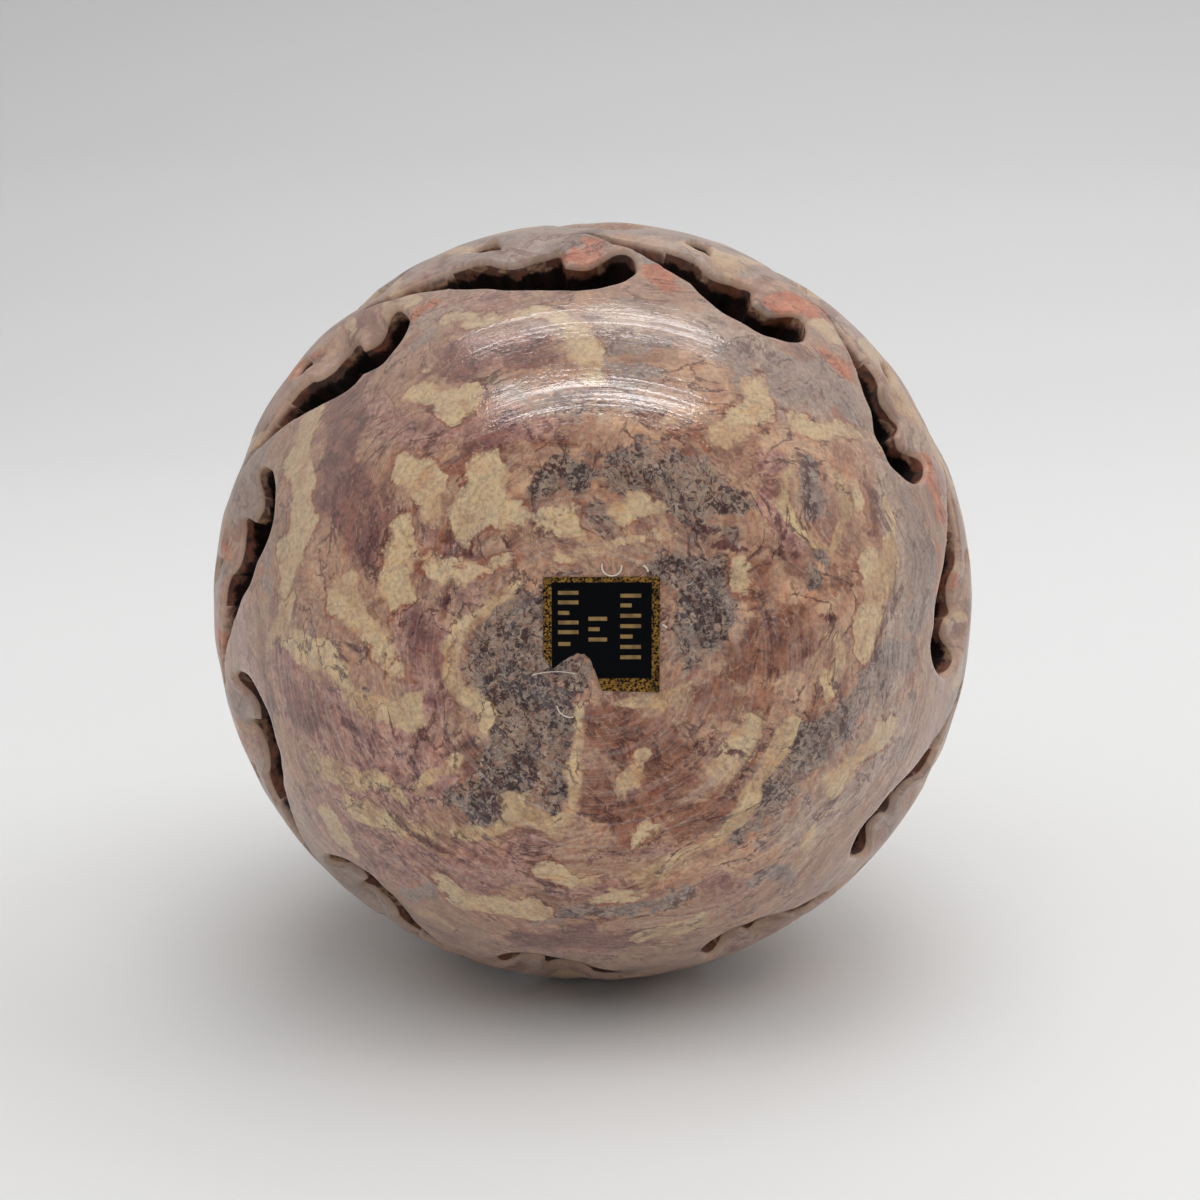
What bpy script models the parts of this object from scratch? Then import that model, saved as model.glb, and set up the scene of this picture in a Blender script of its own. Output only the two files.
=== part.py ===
"""Carved soapstone egg: one hollow openwork stone lying on its side, and a paper label.

Work is in millimetres about the egg's own axis and turned into metres at the end.
The axis lies along Y, with the fat end and its ground base at -Y. An angle "polar"
runs from 0 at the fat pole to 180 at the tip, and "azimuth" runs round the axis.
"""
import bpy
import bmesh
import math
from mathutils import Vector
from mathutils.geometry import delaunay_2d_cdt
from mathutils.kdtree import KDTree

# ---- overall form, mm ----
RADIUS = 30.0          # at the widest ring
FAT_SEMI = 31.15       # semi-axis of the fat half, before the base is ground flat
TIP_SEMI = 50.0        # semi-axis of the slender half
BASE_Y = 28.0          # ground base, from the widest ring
WALL = 6.5             # openwork wall
CAP_WALL = 13.0        # wall of the plain fat end
REST_CUT = 0.5         # depth of the small flat spot on the underside
REST_POINTS = 26       # points round its edge
SCALE = 0.001

# ---- the carving ----
PITCH = 33.0           # one bay in bay units; the true spans follow from the azimuths
BLUNT_ENDS = [-173.3, -139.7, -106.5, -72.0, -41.5, -7.0, 25.0, 54.5, 83.5, 120.5, 153.5]
STRETCH = [0.94, 0.84, 0.85, 0.83, 0.84, 0.81, 0.77, 1.0, 1.16, 0.96, 0.98]
CAP_TILT = 1.9         # the carved ring leans by this much, degrees
CAP_SHIFT = -1.35
THROUGH_END = 24.5     # where a bay stops going right through
RAMP_END = 38.0        # where its shallow tail runs out
RAMP_DEPTH = 5.9       # floor depth where the tail meets the opening, mm
SCOOP_DEPTH = 0.8      # how far a leaf falls away towards its teeth, mm
TOOTH = 9.5            # a tooth's length along the bay
TOOTH_RISE = 4.6
COMMA_SCOOP = 1.0      # the same hollow beside the smaller openings, mm

# ---- label, mm ----
LABEL_LEFT, LABEL_RIGHT = -3.52, 4.25     # from the axis
LABEL_LOW, LABEL_HIGH = -2.0, 5.78
LABEL_THICK = 0.15
LABEL_GAP = 0.05


def smooth(x):
    x = min(1.0, max(0.0, x))
    return x * x * (3.0 - 2.0 * x)


def azimuth(turn):
    """Azimuth in degrees of a place given in bay units from the first blunt end."""
    count = len(BLUNT_ENDS)
    whole = math.floor(turn / PITCH)
    part = turn / PITCH - whole
    lap, k = divmod(int(whole), count)
    start = BLUNT_ENDS[k]
    end = BLUNT_ENDS[k + 1] if k + 1 < count else BLUNT_ENDS[0] + 360.0
    return start + (end - start) * part + 360.0 * lap


def unit_turn(az):
    """The place in bay units of an azimuth: the inverse of azimuth()."""
    count = len(BLUNT_ENDS)
    rest = (az - BLUNT_ENDS[0]) % 360.0 + BLUNT_ENDS[0]
    for k in range(count):
        end = BLUNT_ENDS[k + 1] if k + 1 < count else BLUNT_ENDS[0] + 360.0
        if rest <= end:
            return PITCH * (k + (rest - BLUNT_ENDS[k]) / (end - BLUNT_ENDS[k]))
    return 0.0


def lean(az, polar):
    """Small shift of the carved ring, which fades out beyond the widest ring."""
    fade = 1.0 - smooth((polar - 66.0) / 26.0)
    return (CAP_SHIFT + CAP_TILT * math.sin(math.radians(az))) * fade


def profile(polar):
    """Radius and height along the axis of the outer form, with its outward normal."""
    a = math.radians(polar)
    semi = FAT_SEMI if polar < 90.0 else TIP_SEMI
    r, y = RADIUS * math.sin(a), -semi * math.cos(a)
    nr, ny = r / RADIUS ** 2, y / semi ** 2
    size = math.hypot(nr, ny)
    return r, y, nr / size, ny / size


def wall(polar):
    return WALL + (CAP_WALL - WALL) * smooth((56.0 - polar) / 22.0)


def place(az, polar, depth):
    """Point at a depth under the outer form, in millimetres, lying pose."""
    r, y, nr, ny = profile(polar)
    r, y = r - depth * nr, y - depth * ny
    a = math.radians(az)
    return Vector((r * math.cos(a), y, r * math.sin(a)))


def chart_table(step=0.25):
    """Distances of a shape-keeping flat chart of the egg, one per step of polar angle."""
    steps = int(round(90.0 / step)) - 1

    def rate(p):
        a = math.radians(p)
        semi = FAT_SEMI if p < 90.0 else TIP_SEMI
        ds = math.hypot(RADIUS * math.cos(a), semi * math.sin(a))
        return ds / (RADIUS * math.sin(a)) * math.radians(step)

    up = [0.0]
    for i in range(steps):
        up.append(up[-1] + rate(90.0 + (i + 0.5) * step))
    down = [0.0]
    for i in range(steps):
        down.append(down[-1] - rate(90.0 - (i + 0.5) * step))
    return step, up, down


CHART = chart_table()


def chart(az, polar):
    """Flat chart position: the tip is at the centre and the fat end outside."""
    step, up, down = CHART
    x = abs(polar - 90.0) / step
    i = min(int(x), len(up) - 2)
    f = min(x - i, 1.0)
    t = up if polar >= 90.0 else down
    q = t[i] + (t[i + 1] - t[i]) * f
    rho = 20.0 * math.exp(-q)
    if polar > 179.5:
        rho = 0.0
    a = math.radians(az)
    return Vector((rho * math.cos(a), rho * math.sin(a)))


def cap_edge(t):
    """Polar angle of a bay's smooth edge, on the side of the plain fat end."""
    knots = [(0.0, 61.5), (0.7, 59.2), (2.2, 57.2), (4.6, 55.8), (7.6, 55.0), (11.0, 55.5),
             (14.5, 56.0), (17.8, 57.8), (21.0, 60.3), (24.5, 63.0), (28.0, 66.1),
             (31.5, 69.2), (35.0, 72.1), (38.0, 74.7)]
    for (t0, p0), (t1, p1) in zip(knots, knots[1:]):
        if t <= t1:
            return p0 + (p1 - p0) * (t - t0) / (t1 - t0)
    return knots[-1][1]


def leaf_edge(t):
    """Polar angle of a bay's toothed edge, and of its tail's far edge."""
    if t >= 2.0 * TOOTH:
        return 69.4 + 0.23 * (t - 2.0 * TOOTH) + 0.12 * max(0.0, t - 28.0)
    return 67.6 + 0.30 * t - TOOTH_RISE * ((t / TOOTH) % 1.0)


def bay_outline():
    """One through-opening: its blunt end, its smooth edge, its tail, then its teeth."""
    points = [(t, cap_edge(t)) for t in (0.0, 0.7, 2.2, 4.6, 7.6, 11.0, 14.5, 17.8, 21.0)]
    points.append((THROUGH_END, cap_edge(THROUGH_END)))
    points += ramp_station(THROUGH_END)[1:3]
    points.append((THROUGH_END, leaf_edge(THROUGH_END)))
    points += [(21.8, leaf_edge(21.8)), (19.4, leaf_edge(19.4))]
    for start in (TOOTH, 0.0):
        tip = start + TOOTH - 0.01
        points += [(tip, leaf_edge(tip)), (start + 6.8, leaf_edge(start + 6.8) - 0.1)]
        points.append((start + 3.8, leaf_edge(start + 3.8) + 0.7))
        if start:
            points.append((start + 0.7, leaf_edge(start + 0.7)))
    points += [(1.3, 67.0), (0.25, 64.4)]
    return points


def ramp_floor(t):
    f = (RAMP_END - t) / (RAMP_END - THROUGH_END)
    return RAMP_DEPTH * max(0.0, min(1.0, f)) ** 0.8


def ramp_station(t):
    """Across the tail: its two lips and, between them, the two sides of its floor."""
    a, b = cap_edge(t), leaf_edge(t)
    side = min(0.3 + 0.22 * ramp_floor(t), 0.36 * (b - a))
    return [(t, a), (t, a + side), (t, b - side), (t, b)]


def comma(t0, p0, t1, p1, width, teeth):
    """A smaller comma-shaped opening: blunt at its start, pointed at its end."""
    dt, dp = t1 - t0, p1 - p0
    size = math.hypot(dt, dp)
    nt, np_ = dp / size, -dt / size
    near = [(0.0, 0.30), (0.10, 0.46), (0.34, 0.52), (0.60, 0.42), (0.82, 0.24)]
    far = [(0.74, 0.20), (0.66, 0.12), (0.60, 0.44), (0.34, 0.30), (0.26, 0.50), (0.05, 0.42)]
    if not teeth:
        far = [(0.74, 0.30), (0.40, 0.48), (0.08, 0.44)]
    points = [(t0 + dt * u + nt * width * w, p0 + dp * u + np_ * width * w) for u, w in near]
    points.append((t1, p1))
    points += [(t0 + dt * u - nt * width * w, p0 + dp * u - np_ * width * w) for u, w in far]
    return points


PIERCING = [(18.1, 72.7), (21.4, 75.3), (20.6, 78.8), (18.3, 78.4)]
ROWS = [
    (0.8, 79.3, 15.4, 90.4, 8.4, True),
    (19.5, 94.6, 36.5, 104.2, 9.0, True),
    (3.8, 109.6, 21.2, 118.0, 9.4, True),
    (20.0, 123.0, 36.5, 130.0, 8.6, True),
    (4.5, 134.8, 19.0, 140.2, 7.0, False),
    (21.0, 144.6, 33.5, 148.6, 5.6, False),
]


def inside(point, polygon):
    """Even-odd test of a chart point in a chart polygon."""
    x, y = point
    odd = False
    for i in range(len(polygon)):
        (ax, ay), (bx, by) = polygon[i - 1], polygon[i]
        if (ay > y) != (by > y) and x < (bx - ax) * (y - ay) / (by - ay) + ax:
            odd = not odd
    return odd


def leaf_scoop(t, polar):
    """Depth of the hollow worn into a leaf beside its teeth, mm."""
    ridge = 68.6 + 0.72 * max(0.0, t) if t < 12.0 else 77.2 - 0.75 * (t - 12.0)
    across = smooth((ridge - polar) / 8.0)
    along = smooth((t - 1.0) / 4.0) * (1.0 - smooth((t - 18.0) / 4.0))
    past_edge = smooth((polar - cap_edge(max(0.0, t)) - 3.0) / 3.0)
    return SCOOP_DEPTH * across * along * past_edge


def comma_scoop(t, polar, row):
    """The same beside a smaller opening, on its toothed side."""
    t0, p0, t1, p1, width, teeth = row
    dt, dp = t1 - t0, p1 - p0
    size = math.hypot(dt, dp)
    along = ((t - t0) * dt + (polar - p0) * dp) / size ** 2
    off = ((t - t0) * -dp + (polar - p0) * dt) / size
    if off < 0.0:
        return 0.0
    window = smooth((along + 0.05) / 0.25) * (1.0 - smooth((along - 0.72) / 0.3))
    return COMMA_SCOOP * window * smooth((0.5 * width + 3.2 - off) / 3.4)


def relief(az, polar):
    """Depth of the outer skin under the plain egg form at any place, mm."""
    plain = polar - lean(az, polar)
    deepest = 0.0
    count = len(BLUNT_ENDS)
    if plain < 84.0:
        for k in range(count):
            t = ((az - BLUNT_ENDS[k] + 20.0) % 360.0 - 20.0) / STRETCH[k]
            if 0.0 < t < 24.0:
                deepest = max(deepest, leaf_scoop(t, plain))
    if plain > 74.0:
        turn = unit_turn(az)
        for row in ROWS:
            for lap in (-PITCH, 0.0, PITCH):
                t = turn % PITCH + lap
                deepest = max(deepest, comma_scoop(t, plain, row))
    return deepest


class Shell:
    """Collects the points of the egg's outer and inner skins by azimuth and polar angle."""

    def __init__(self):
        self.where = []      # azimuth, polar
        self.depth = []      # of the outer skin
        self.holes = []      # lists of point numbers
        self.lines = []      # creases
        self.inner = []      # whether the inner skin uses the point

    def add(self, az, polar, depth, inner):
        self.where.append((az, polar))
        self.depth.append(depth)
        self.inner.append(inner)
        return len(self.where) - 1


def build_shell():
    shell = Shell()
    count = len(BLUNT_ENDS)

    def bay_point(k, t, polar, depth, inner):
        az = BLUNT_ENDS[k] + t * STRETCH[k]
        polar += lean(az, polar)
        if depth is None:
            depth = relief(az, polar)
        return shell.add(az, polar, depth, inner)

    tails = []
    for k in range(count):
        hole = []
        floor = ramp_station(THROUGH_END)[1:3]
        for t, polar in bay_outline():
            depth = ramp_floor(t) if (t, polar) in floor else None
            hole.append(bay_point(k, t, polar, depth, True))
        shell.holes.append(hole)
        last = hole[9:13]
        tail = [last]
        for t in (27.0, 30.0, 34.0):
            row = ramp_station(t)
            depths = (0.0, ramp_floor(t), ramp_floor(t), 0.0)
            now = [bay_point(k, t, p, d, False) for (_, p), d in zip(row, depths)]
            shell.lines += list(zip(last, now))
            last = now
            tail.append(now)
        end = bay_point(k, RAMP_END, 75.0, 0.0, False)
        shell.lines += [(p, end) for p in last]
        tails.append([p[0] for p in tail] + [end] + [p[3] for p in reversed(tail)])
        shell.holes.append([bay_point(k, t, p, None, True) for t, p in PIERCING])
        for row in ROWS:
            hole = []
            for t, polar in comma(*row):
                az = azimuth(k * PITCH + t)
                polar += lean(az, polar)
                hole.append(shell.add(az, polar, relief(az, polar), True))
            shell.holes.append(hole)
    return shell, tails


def add_rings(shell, step, first, last, inner, keep_off):
    """Rings of plain points between the openings, none too near a point that is there."""
    tree = KDTree(len(shell.where))
    for i, (az, polar) in enumerate(shell.where):
        tree.insert(place(az, polar, 0.0), i)
    tree.balance()
    polygons = []
    for hole in keep_off:
        polygon = [chart(*shell.where[i]) for i in hole]
        xs, ys = [p.x for p in polygon], [p.y for p in polygon]
        polygons.append((min(xs), max(xs), min(ys), max(ys), polygon))
    polar, ring = first, 0
    while polar < last:
        r = profile(polar)[0]
        n = max(6, int(round(2.0 * math.pi * r / step)))
        for i in range(n):
            az = 360.0 * (i + 0.5 * (ring % 2)) / n - 180.0
            if tree.find(place(az, polar, 0.0))[2] < 0.62 * step:
                continue
            p = chart(az, polar)
            if any(x0 < p.x < x1 and y0 < p.y < y1 and inside(p, poly)
                   for x0, x1, y0, y1, poly in polygons):
                continue
            shell.add(az, polar, 0.0 if inner else relief(az, polar), inner)
        semi = FAT_SEMI if polar < 90.0 else TIP_SEMI
        a = math.radians(polar)
        polar += math.degrees(0.87 * step / math.hypot(RADIUS * math.cos(a), semi * math.sin(a)))
        ring += 1


def add_rest_outline(shell, keep_off):
    """Points round the edge of the small flat spot, where it leaves the egg form."""
    ground = RADIUS - REST_CUT
    tree = KDTree(len(shell.where))
    for i, (az, polar) in enumerate(shell.where):
        tree.insert(place(az, polar, 0.0), i)
    tree.balance()
    polygons = [[chart(*shell.where[i]) for i in hole] for hole in keep_off]
    for i in range(REST_POINTS):
        turn = 2.0 * math.pi * i / REST_POINTS
        semi = FAT_SEMI if math.cos(turn) < 0.0 else TIP_SEMI
        reach = semi * math.sqrt(1.0 - (ground / RADIUS) ** 2)
        y = reach * math.cos(turn)
        r = RADIUS * math.sqrt(1.0 - (y / semi) ** 2)
        x = math.copysign(math.sqrt(max(0.0, r * r - ground * ground)), math.sin(turn))
        az, polar = math.degrees(math.atan2(-ground, x)), math.degrees(math.acos(-y / semi))
        p = chart(az, polar)
        near = tree.find(place(az, polar, 0.0))[2] < 1.0
        if not near and not any(inside(p, polygon) for polygon in polygons):
            shell.add(az, polar, relief(az, polar), False)


def triangulate(shell, holes, lines, rim):
    """Triangles over the chart, without those that lie in a hole."""
    flat = [chart(*w) for w in shell.where]
    edges = list(lines)
    for loop in holes + [rim]:
        edges += list(zip(loop, loop[1:] + loop[:1]))
    result = delaunay_2d_cdt(flat, edges, [], 0, 1e-6)
    triangles, source = result[2], result[3]
    polygons = []
    for hole in holes:
        polygon = [flat[i] for i in hole]
        xs, ys = [p.x for p in polygon], [p.y for p in polygon]
        polygons.append((min(xs), max(xs), min(ys), max(ys), polygon))
    kept = []
    for tri in triangles:
        corners = [source[v][0] for v in tri]
        if len(set(corners)) < 3:
            continue
        c = sum((result[0][v] for v in tri), Vector((0.0, 0.0))) / 3.0
        if any(x0 < c.x < x1 and y0 < c.y < y1 and inside(c, poly)
               for x0, x1, y0, y1, poly in polygons):
            continue
        kept.append(corners)
    return kept


def base_faces(rim):
    """The ground base: the side that carries the label, and a plain part beside it."""
    left, low, right = rim[2], rim[16], rim[31]
    labelled = tuple(rim[31:]) + tuple(rim[:3])
    return [labelled, (left, low, right), tuple(rim[2:17]), tuple(rim[16:32])]


def egg_mesh():
    base_polar = math.degrees(math.acos(BASE_Y / FAT_SEMI))
    shell, tails = build_shell()
    rim_count = 66
    rim = [shell.add(360.0 * i / rim_count - 180.0, base_polar, 0.0, True)
           for i in range(rim_count)]
    add_rest_outline(shell, shell.holes + tails)
    add_rings(shell, 4.6, base_polar + 7.0, 51.5, False, [])
    add_rings(shell, 3.3, 53.5, 176.0, False, shell.holes + tails)
    shell.add(0.0, 180.0, 0.0, True)
    outer = triangulate(shell, shell.holes, shell.lines, rim)

    # the inner skin takes the openings, the rim, the tip and a looser set of rings
    lining, number = Shell(), {}
    for i, used in enumerate(shell.inner):
        if used:
            number[i] = lining.add(*shell.where[i], 0.0, True)
    holes_in = [[number[i] for i in hole] for hole in shell.holes]
    rim_in = [number[i] for i in rim]
    add_rings(lining, 7.0, base_polar + 12.0, 170.0, True, holes_in)
    inner = triangulate(lining, holes_in, [], rim_in)

    ground = -(RADIUS - REST_CUT)
    verts = [place(az, polar, depth) for (az, polar), depth in zip(shell.where, shell.depth)]
    for p in verts:
        p.z = max(p.z, ground)
    offset = len(verts)
    verts += [place(az, polar, wall(polar)) for az, polar in lining.where]
    faces = [tuple(f) for f in outer]
    faces += [tuple(offset + v for v in reversed(f)) for f in inner]
    for hole in shell.holes:
        for a, b in zip(hole, hole[1:] + hole[:1]):
            faces.append((a, b, offset + number[b], offset + number[a]))
    faces += base_faces(rim)
    faces.append(tuple(offset + i for i in reversed(rim_in)))
    return verts, faces


def make_object(name, verts, faces, material, shift):
    mesh = bpy.data.meshes.new(name)
    mesh.from_pydata([(v + shift) * SCALE for v in verts], [], faces)
    bm = bmesh.new()
    bm.from_mesh(mesh)
    bmesh.ops.recalc_face_normals(bm, faces=bm.faces)
    quads = [f for f in bm.faces if len(f.verts) == 4]
    bmesh.ops.triangulate(bm, faces=quads)
    bm.to_mesh(mesh)
    bm.free()
    mesh.materials.append(material)
    obj = bpy.data.objects.new(name, mesh)
    bpy.context.scene.collection.objects.link(obj)
    return obj


def make_material(name, colour, roughness):
    material = bpy.data.materials.new(name)
    material.use_nodes = True
    shader = material.node_tree.nodes["Principled BSDF"]
    shader.inputs["Base Color"].default_value = (*colour, 1.0)
    shader.inputs["Roughness"].default_value = roughness
    shader.inputs["Metallic"].default_value = 0.0
    return material


def label_mesh():
    """A square label with one corner torn away, standing just clear of the base."""
    outline = [(LABEL_LEFT, LABEL_HIGH), (LABEL_RIGHT, LABEL_HIGH), (LABEL_RIGHT, LABEL_LOW)]
    outline += [(0.42, LABEL_LOW + 0.1), (0.05, -0.84), (-0.33, 0.12), (-0.76, 0.65),
                (-1.28, 0.65), (-2.03, 0.26), (-2.83, -0.41), (LABEL_LEFT, 0.45)]
    back = -BASE_Y - LABEL_GAP
    verts = [Vector((x, y, z)) for y in (back, back - LABEL_THICK) for x, z in outline]
    n = len(outline)
    faces = [tuple(range(n)), tuple(range(2 * n - 1, n - 1, -1))]
    faces += [(i, i + n, (i + 1) % n + n, (i + 1) % n) for i in range(n)]
    return verts, faces


def main():
    for obj in list(bpy.data.objects):
        bpy.data.objects.remove(obj, do_unlink=True)
    front = -BASE_Y - LABEL_GAP - LABEL_THICK
    shift = Vector((0.0, -(front + TIP_SEMI) / 2.0, RADIUS - REST_CUT))
    stone = make_material("soapstone", (0.46, 0.32, 0.27), 0.32)
    paper = make_material("label_paper", (0.02, 0.02, 0.02), 0.45)
    verts, faces = egg_mesh()
    make_object("egg", verts, faces, stone, shift)
    verts, faces = label_mesh()
    make_object("label", verts, faces, paper, shift)


main()
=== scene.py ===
"""Looks for the carved soapstone egg: the pierced stone, its torn paper label, floor, lights.

The egg is worked out in millimetres about its own axis, which lies along Y with the fat
end and its ground base at -Y. "polar" runs from 0 at the fat pole to 180 at the tip and
"az" runs round the axis, both in degrees. settle() turns that into the part's frame.
The colours of the fat end are laid as strokes of (across, up, half width) in millimetres.
"""
import bpy
import bmesh
import math
import numpy as np
from mathutils import Matrix, Vector
from mathutils.geometry import delaunay_2d_cdt
from mathutils.kdtree import KDTree


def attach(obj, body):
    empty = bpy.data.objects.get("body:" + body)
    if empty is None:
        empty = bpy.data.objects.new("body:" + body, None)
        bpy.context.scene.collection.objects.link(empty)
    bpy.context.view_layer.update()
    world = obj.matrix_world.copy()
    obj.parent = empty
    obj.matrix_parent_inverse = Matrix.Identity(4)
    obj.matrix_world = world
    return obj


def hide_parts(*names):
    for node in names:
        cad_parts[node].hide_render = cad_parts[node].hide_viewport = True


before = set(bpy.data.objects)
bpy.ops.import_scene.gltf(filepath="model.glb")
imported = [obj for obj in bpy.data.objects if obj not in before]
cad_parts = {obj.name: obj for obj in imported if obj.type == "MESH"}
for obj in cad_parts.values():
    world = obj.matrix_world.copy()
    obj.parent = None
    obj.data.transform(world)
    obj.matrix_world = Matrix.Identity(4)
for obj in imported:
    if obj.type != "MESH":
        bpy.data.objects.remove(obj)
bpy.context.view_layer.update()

# ---- the egg's form, mm ----
RADIUS = 30.0          # at the widest ring
FAT_SEMI = 31.15       # semi-axis of the fat half before its end is ground flat
TIP_SEMI = 50.0        # semi-axis of the slender half
BASE_Y = 28.0          # ground base, from the widest ring
REST_Z = 29.5          # height of the axis over the small flat it lies on
WALL = 6.5             # wall of the openwork
CAP_WALL = 13.0        # wall of the plain fat end
WALL_WAVE = 0.25       # unevenness of the wall's inner side
SHIFT = (0.0, -10.9, REST_Z)

# ---- the carving ----
PITCH = 33.0           # one bay in bay units
BLUNT_ENDS = [-173.3, -139.7, -106.5, -72.0, -41.5, -7.0, 25.0, 54.5, 83.5, 120.5, 153.5]
STRETCH = [0.94, 0.84, 0.85, 0.83, 0.84, 0.81, 0.77, 1.0, 1.16, 0.96, 0.98]
CAP_TILT = 1.9         # the carved ring leans by this much, degrees
CAP_SHIFT = -1.35
THROUGH_END = 24.5     # where a bay stops going right through
TAIL_END = 38.0        # where its shallow tail runs out
TAIL_DEPTH = 5.9       # floor of the tail where it meets the opening, mm
TOOTH = 9.5            # length of a tooth along the bay
TOOTH_RISE = 4.6
SCOOP_DEPTH = 0.8      # how far a leaf falls away towards its teeth, mm
COMMA_SCOOP = 1.0      # the same beside the smaller openings
FACET_DEPTH = 0.35     # hollow of each tool facet on a leaf, mm
COMMA_FACET = 0.3
RIM = 0.42             # worn rounding of every cut edge, mm
TREMBLE = 0.10         # waviness of every cut edge, mm
FLUTE_WIDTH = 1.9      # the cutter's flutes down the walls, mm
FLUTE_DEPTH = 0.2
CHIP_DEPTH = 0.10      # finer unevenness of the walls, mm
CARVED_SINK = 0.11     # how far the carved part lies under the turned surface, mm
CARVED_WAVE = 0.03
# the small piercing beside each tail: place along the bay and polar angle
PIERCING = [(18.1, 72.7), (21.4, 75.3), (20.6, 78.8), (18.3, 78.4)]
# the rows of smaller openings: start and end as (along, polar), width, and whether toothed
ROWS = [
    (0.8, 79.3, 15.4, 90.4, 8.4, True),
    (19.5, 94.6, 36.5, 104.2, 9.0, True),
    (3.8, 109.6, 21.2, 118.0, 9.4, True),
    (20.0, 123.0, 36.5, 130.0, 8.6, True),
    (4.5, 134.8, 19.0, 140.2, 7.0, False),
    (21.0, 144.6, 33.5, 148.6, 5.6, False),
]
# where two cuts of the smooth edge meet in a small cusp: bay, place along it, height
CUSPS = {6: (18.0, 0.8), 7: (20.0, 0.9), 8: (14.5, 0.5), 9: (10.9, 0.9), 10: (13.8, 0.8)}

# ---- how finely the stone is laid out, mm ----
BAY_STEP = 0.34        # between places along a bay's edge and a piercing's
ROW_STEPS = (0.42, 0.52, 0.6, 0.6, 0.6, 0.6)
NEAR_REACHES = (0.12, 0.28, 0.55)    # rows of places beside an edge that is seen from near
FAR_REACHES = (0.2, 0.6)
RING_POLAR = (20.0, 30.0, 84.0, 96.0, 180.0)
RING_SPACING = (0.55, 0.42, 0.42, 0.62, 0.62)
CROWDED = 0.62         # a ring place keeps this share of its spacing from the others
LINING_STEP = 1.7
CHART_SIZE = 20.0      # radius of the flat chart at the widest ring
# what each vertex carries: depth cut in, pale worn rim with a painted highlight, and painted shade
LAYERS = ("sunk", "wear_and_edge_highlight", "shade")

# ---- label, mm from the axis ----
LABEL_LEFT, LABEL_RIGHT = -3.52, 4.25
LABEL_LOW, LABEL_HIGH = -2.0, 5.78
LABEL_FRONT = -BASE_Y - 0.185
BAR_HEIGHT = 0.26
BAR_THICK = 0.02

# ---- camera ----
CAMERA_AWAY = 0.165    # metres from the middle of the egg
CAMERA_TURN = 0.4      # degrees to the left of straight on
CAMERA_RISE = 8.6      # degrees above level
CAMERA_ROLL = -0.195
CAMERA_LENS = 61.65


def ease(x):
    """A smooth step from 0 to 1."""
    x = np.clip(x, 0.0, 1.0)
    return x * x * (3.0 - 2.0 * x)


def azimuth(turn):
    """Azimuth of a place given in bay units from the first blunt end."""
    ends = np.array(BLUNT_ENDS + [BLUNT_ENDS[0] + 360.0])
    lap, rest = divmod(turn, PITCH * len(BLUNT_ENDS))
    return np.interp(rest, PITCH * np.arange(len(ends)), ends) + 360.0 * lap


def unit_turn(az):
    """The place in bay units of an azimuth: the inverse of azimuth()."""
    ends = np.array(BLUNT_ENDS + [BLUNT_ENDS[0] + 360.0])
    rest = (az - BLUNT_ENDS[0]) % 360.0 + BLUNT_ENDS[0]
    return np.interp(rest, ends, PITCH * np.arange(len(ends)))


def lean(az, polar):
    """Small shift of the carved ring, which fades out beyond the widest ring."""
    fade = 1.0 - ease((polar - 66.0) / 26.0)
    return (CAP_SHIFT + CAP_TILT * np.sin(np.radians(az))) * fade


def profile(polar):
    """Radius and height along the axis of the plain egg, with its outward normal."""
    a = np.radians(polar)
    semi = np.where(polar < 90.0, FAT_SEMI, TIP_SEMI)
    r, y = RADIUS * np.sin(a), -semi * np.cos(a)
    nr, ny = r / RADIUS ** 2, y / semi ** 2
    size = np.hypot(nr, ny)
    return r, y, nr / size, ny / size


def wall(polar):
    """Thickness of the wall under a place, mm."""
    return WALL + (CAP_WALL - WALL) * ease((56.0 - polar) / 22.0)


def grind(height, floor, soft):
    """Heights brought up to a ground plane, with a worn edge round it."""
    x = (height - floor) / soft
    return floor + soft * (np.maximum(x, 0.0) + np.log1p(np.exp(-np.abs(x))))


def place(az, polar, depth):
    """Points at a depth under the plain egg, in millimetres about its axis."""
    az, polar, depth = (np.asarray(v, dtype=float) for v in (az, polar, depth))
    r, y, nr, ny = profile(polar)
    r, y = r - depth * nr, y - depth * ny
    y = grind(y, -BASE_Y, 0.16)
    a = np.radians(az)
    x, z = r * np.cos(a), r * np.sin(a)
    z = np.maximum(z, -REST_Z)
    return np.stack([x, y + 0.0 * x, z], axis=-1)


def settle(points):
    """Millimetres about the axis, turned into metres in the part's frame."""
    return (np.asarray(points) + np.array(SHIFT)) * 0.001


def chart_distance():
    """Distances of a shape-keeping flat chart of the egg, by polar angle."""
    angles = np.arange(0.5, 179.76, 0.25)
    middle = 0.5 * (angles[1:] + angles[:-1])
    a = np.radians(middle)
    semi = np.where(middle < 90.0, FAT_SEMI, TIP_SEMI)
    run = np.hypot(RADIUS * np.cos(a), semi * np.sin(a)) * math.radians(0.25)
    q = np.concatenate([[0.0], np.cumsum(run / (RADIUS * np.sin(a)))])
    return angles, q - np.interp(90.0, angles, q)


CHART_ANGLES, CHART_Q = chart_distance()


def chart(az, polar):
    """Flat chart positions: the tip is at the centre and the fat end outside."""
    rho = CHART_SIZE * np.exp(-np.interp(polar, CHART_ANGLES, CHART_Q))
    a = np.radians(az)
    return np.stack([rho * np.cos(a), rho * np.sin(a)], axis=-1)


# ---- outlines of the openings ----
def cap_edge(t):
    """Polar angle of a bay's smooth edge, on the side of the plain fat end."""
    at = [0.0, 0.7, 2.2, 4.6, 7.6, 11.0, 14.5, 17.8, 21.0, 24.5, 28.0, 31.5, 35.0, 38.0]
    polar = [61.5, 59.2, 57.2, 55.8, 55.0, 55.5, 56.0, 57.8, 60.3, 63.0, 66.1, 69.2, 72.1, 74.7]
    return np.interp(t, at, polar)


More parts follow.
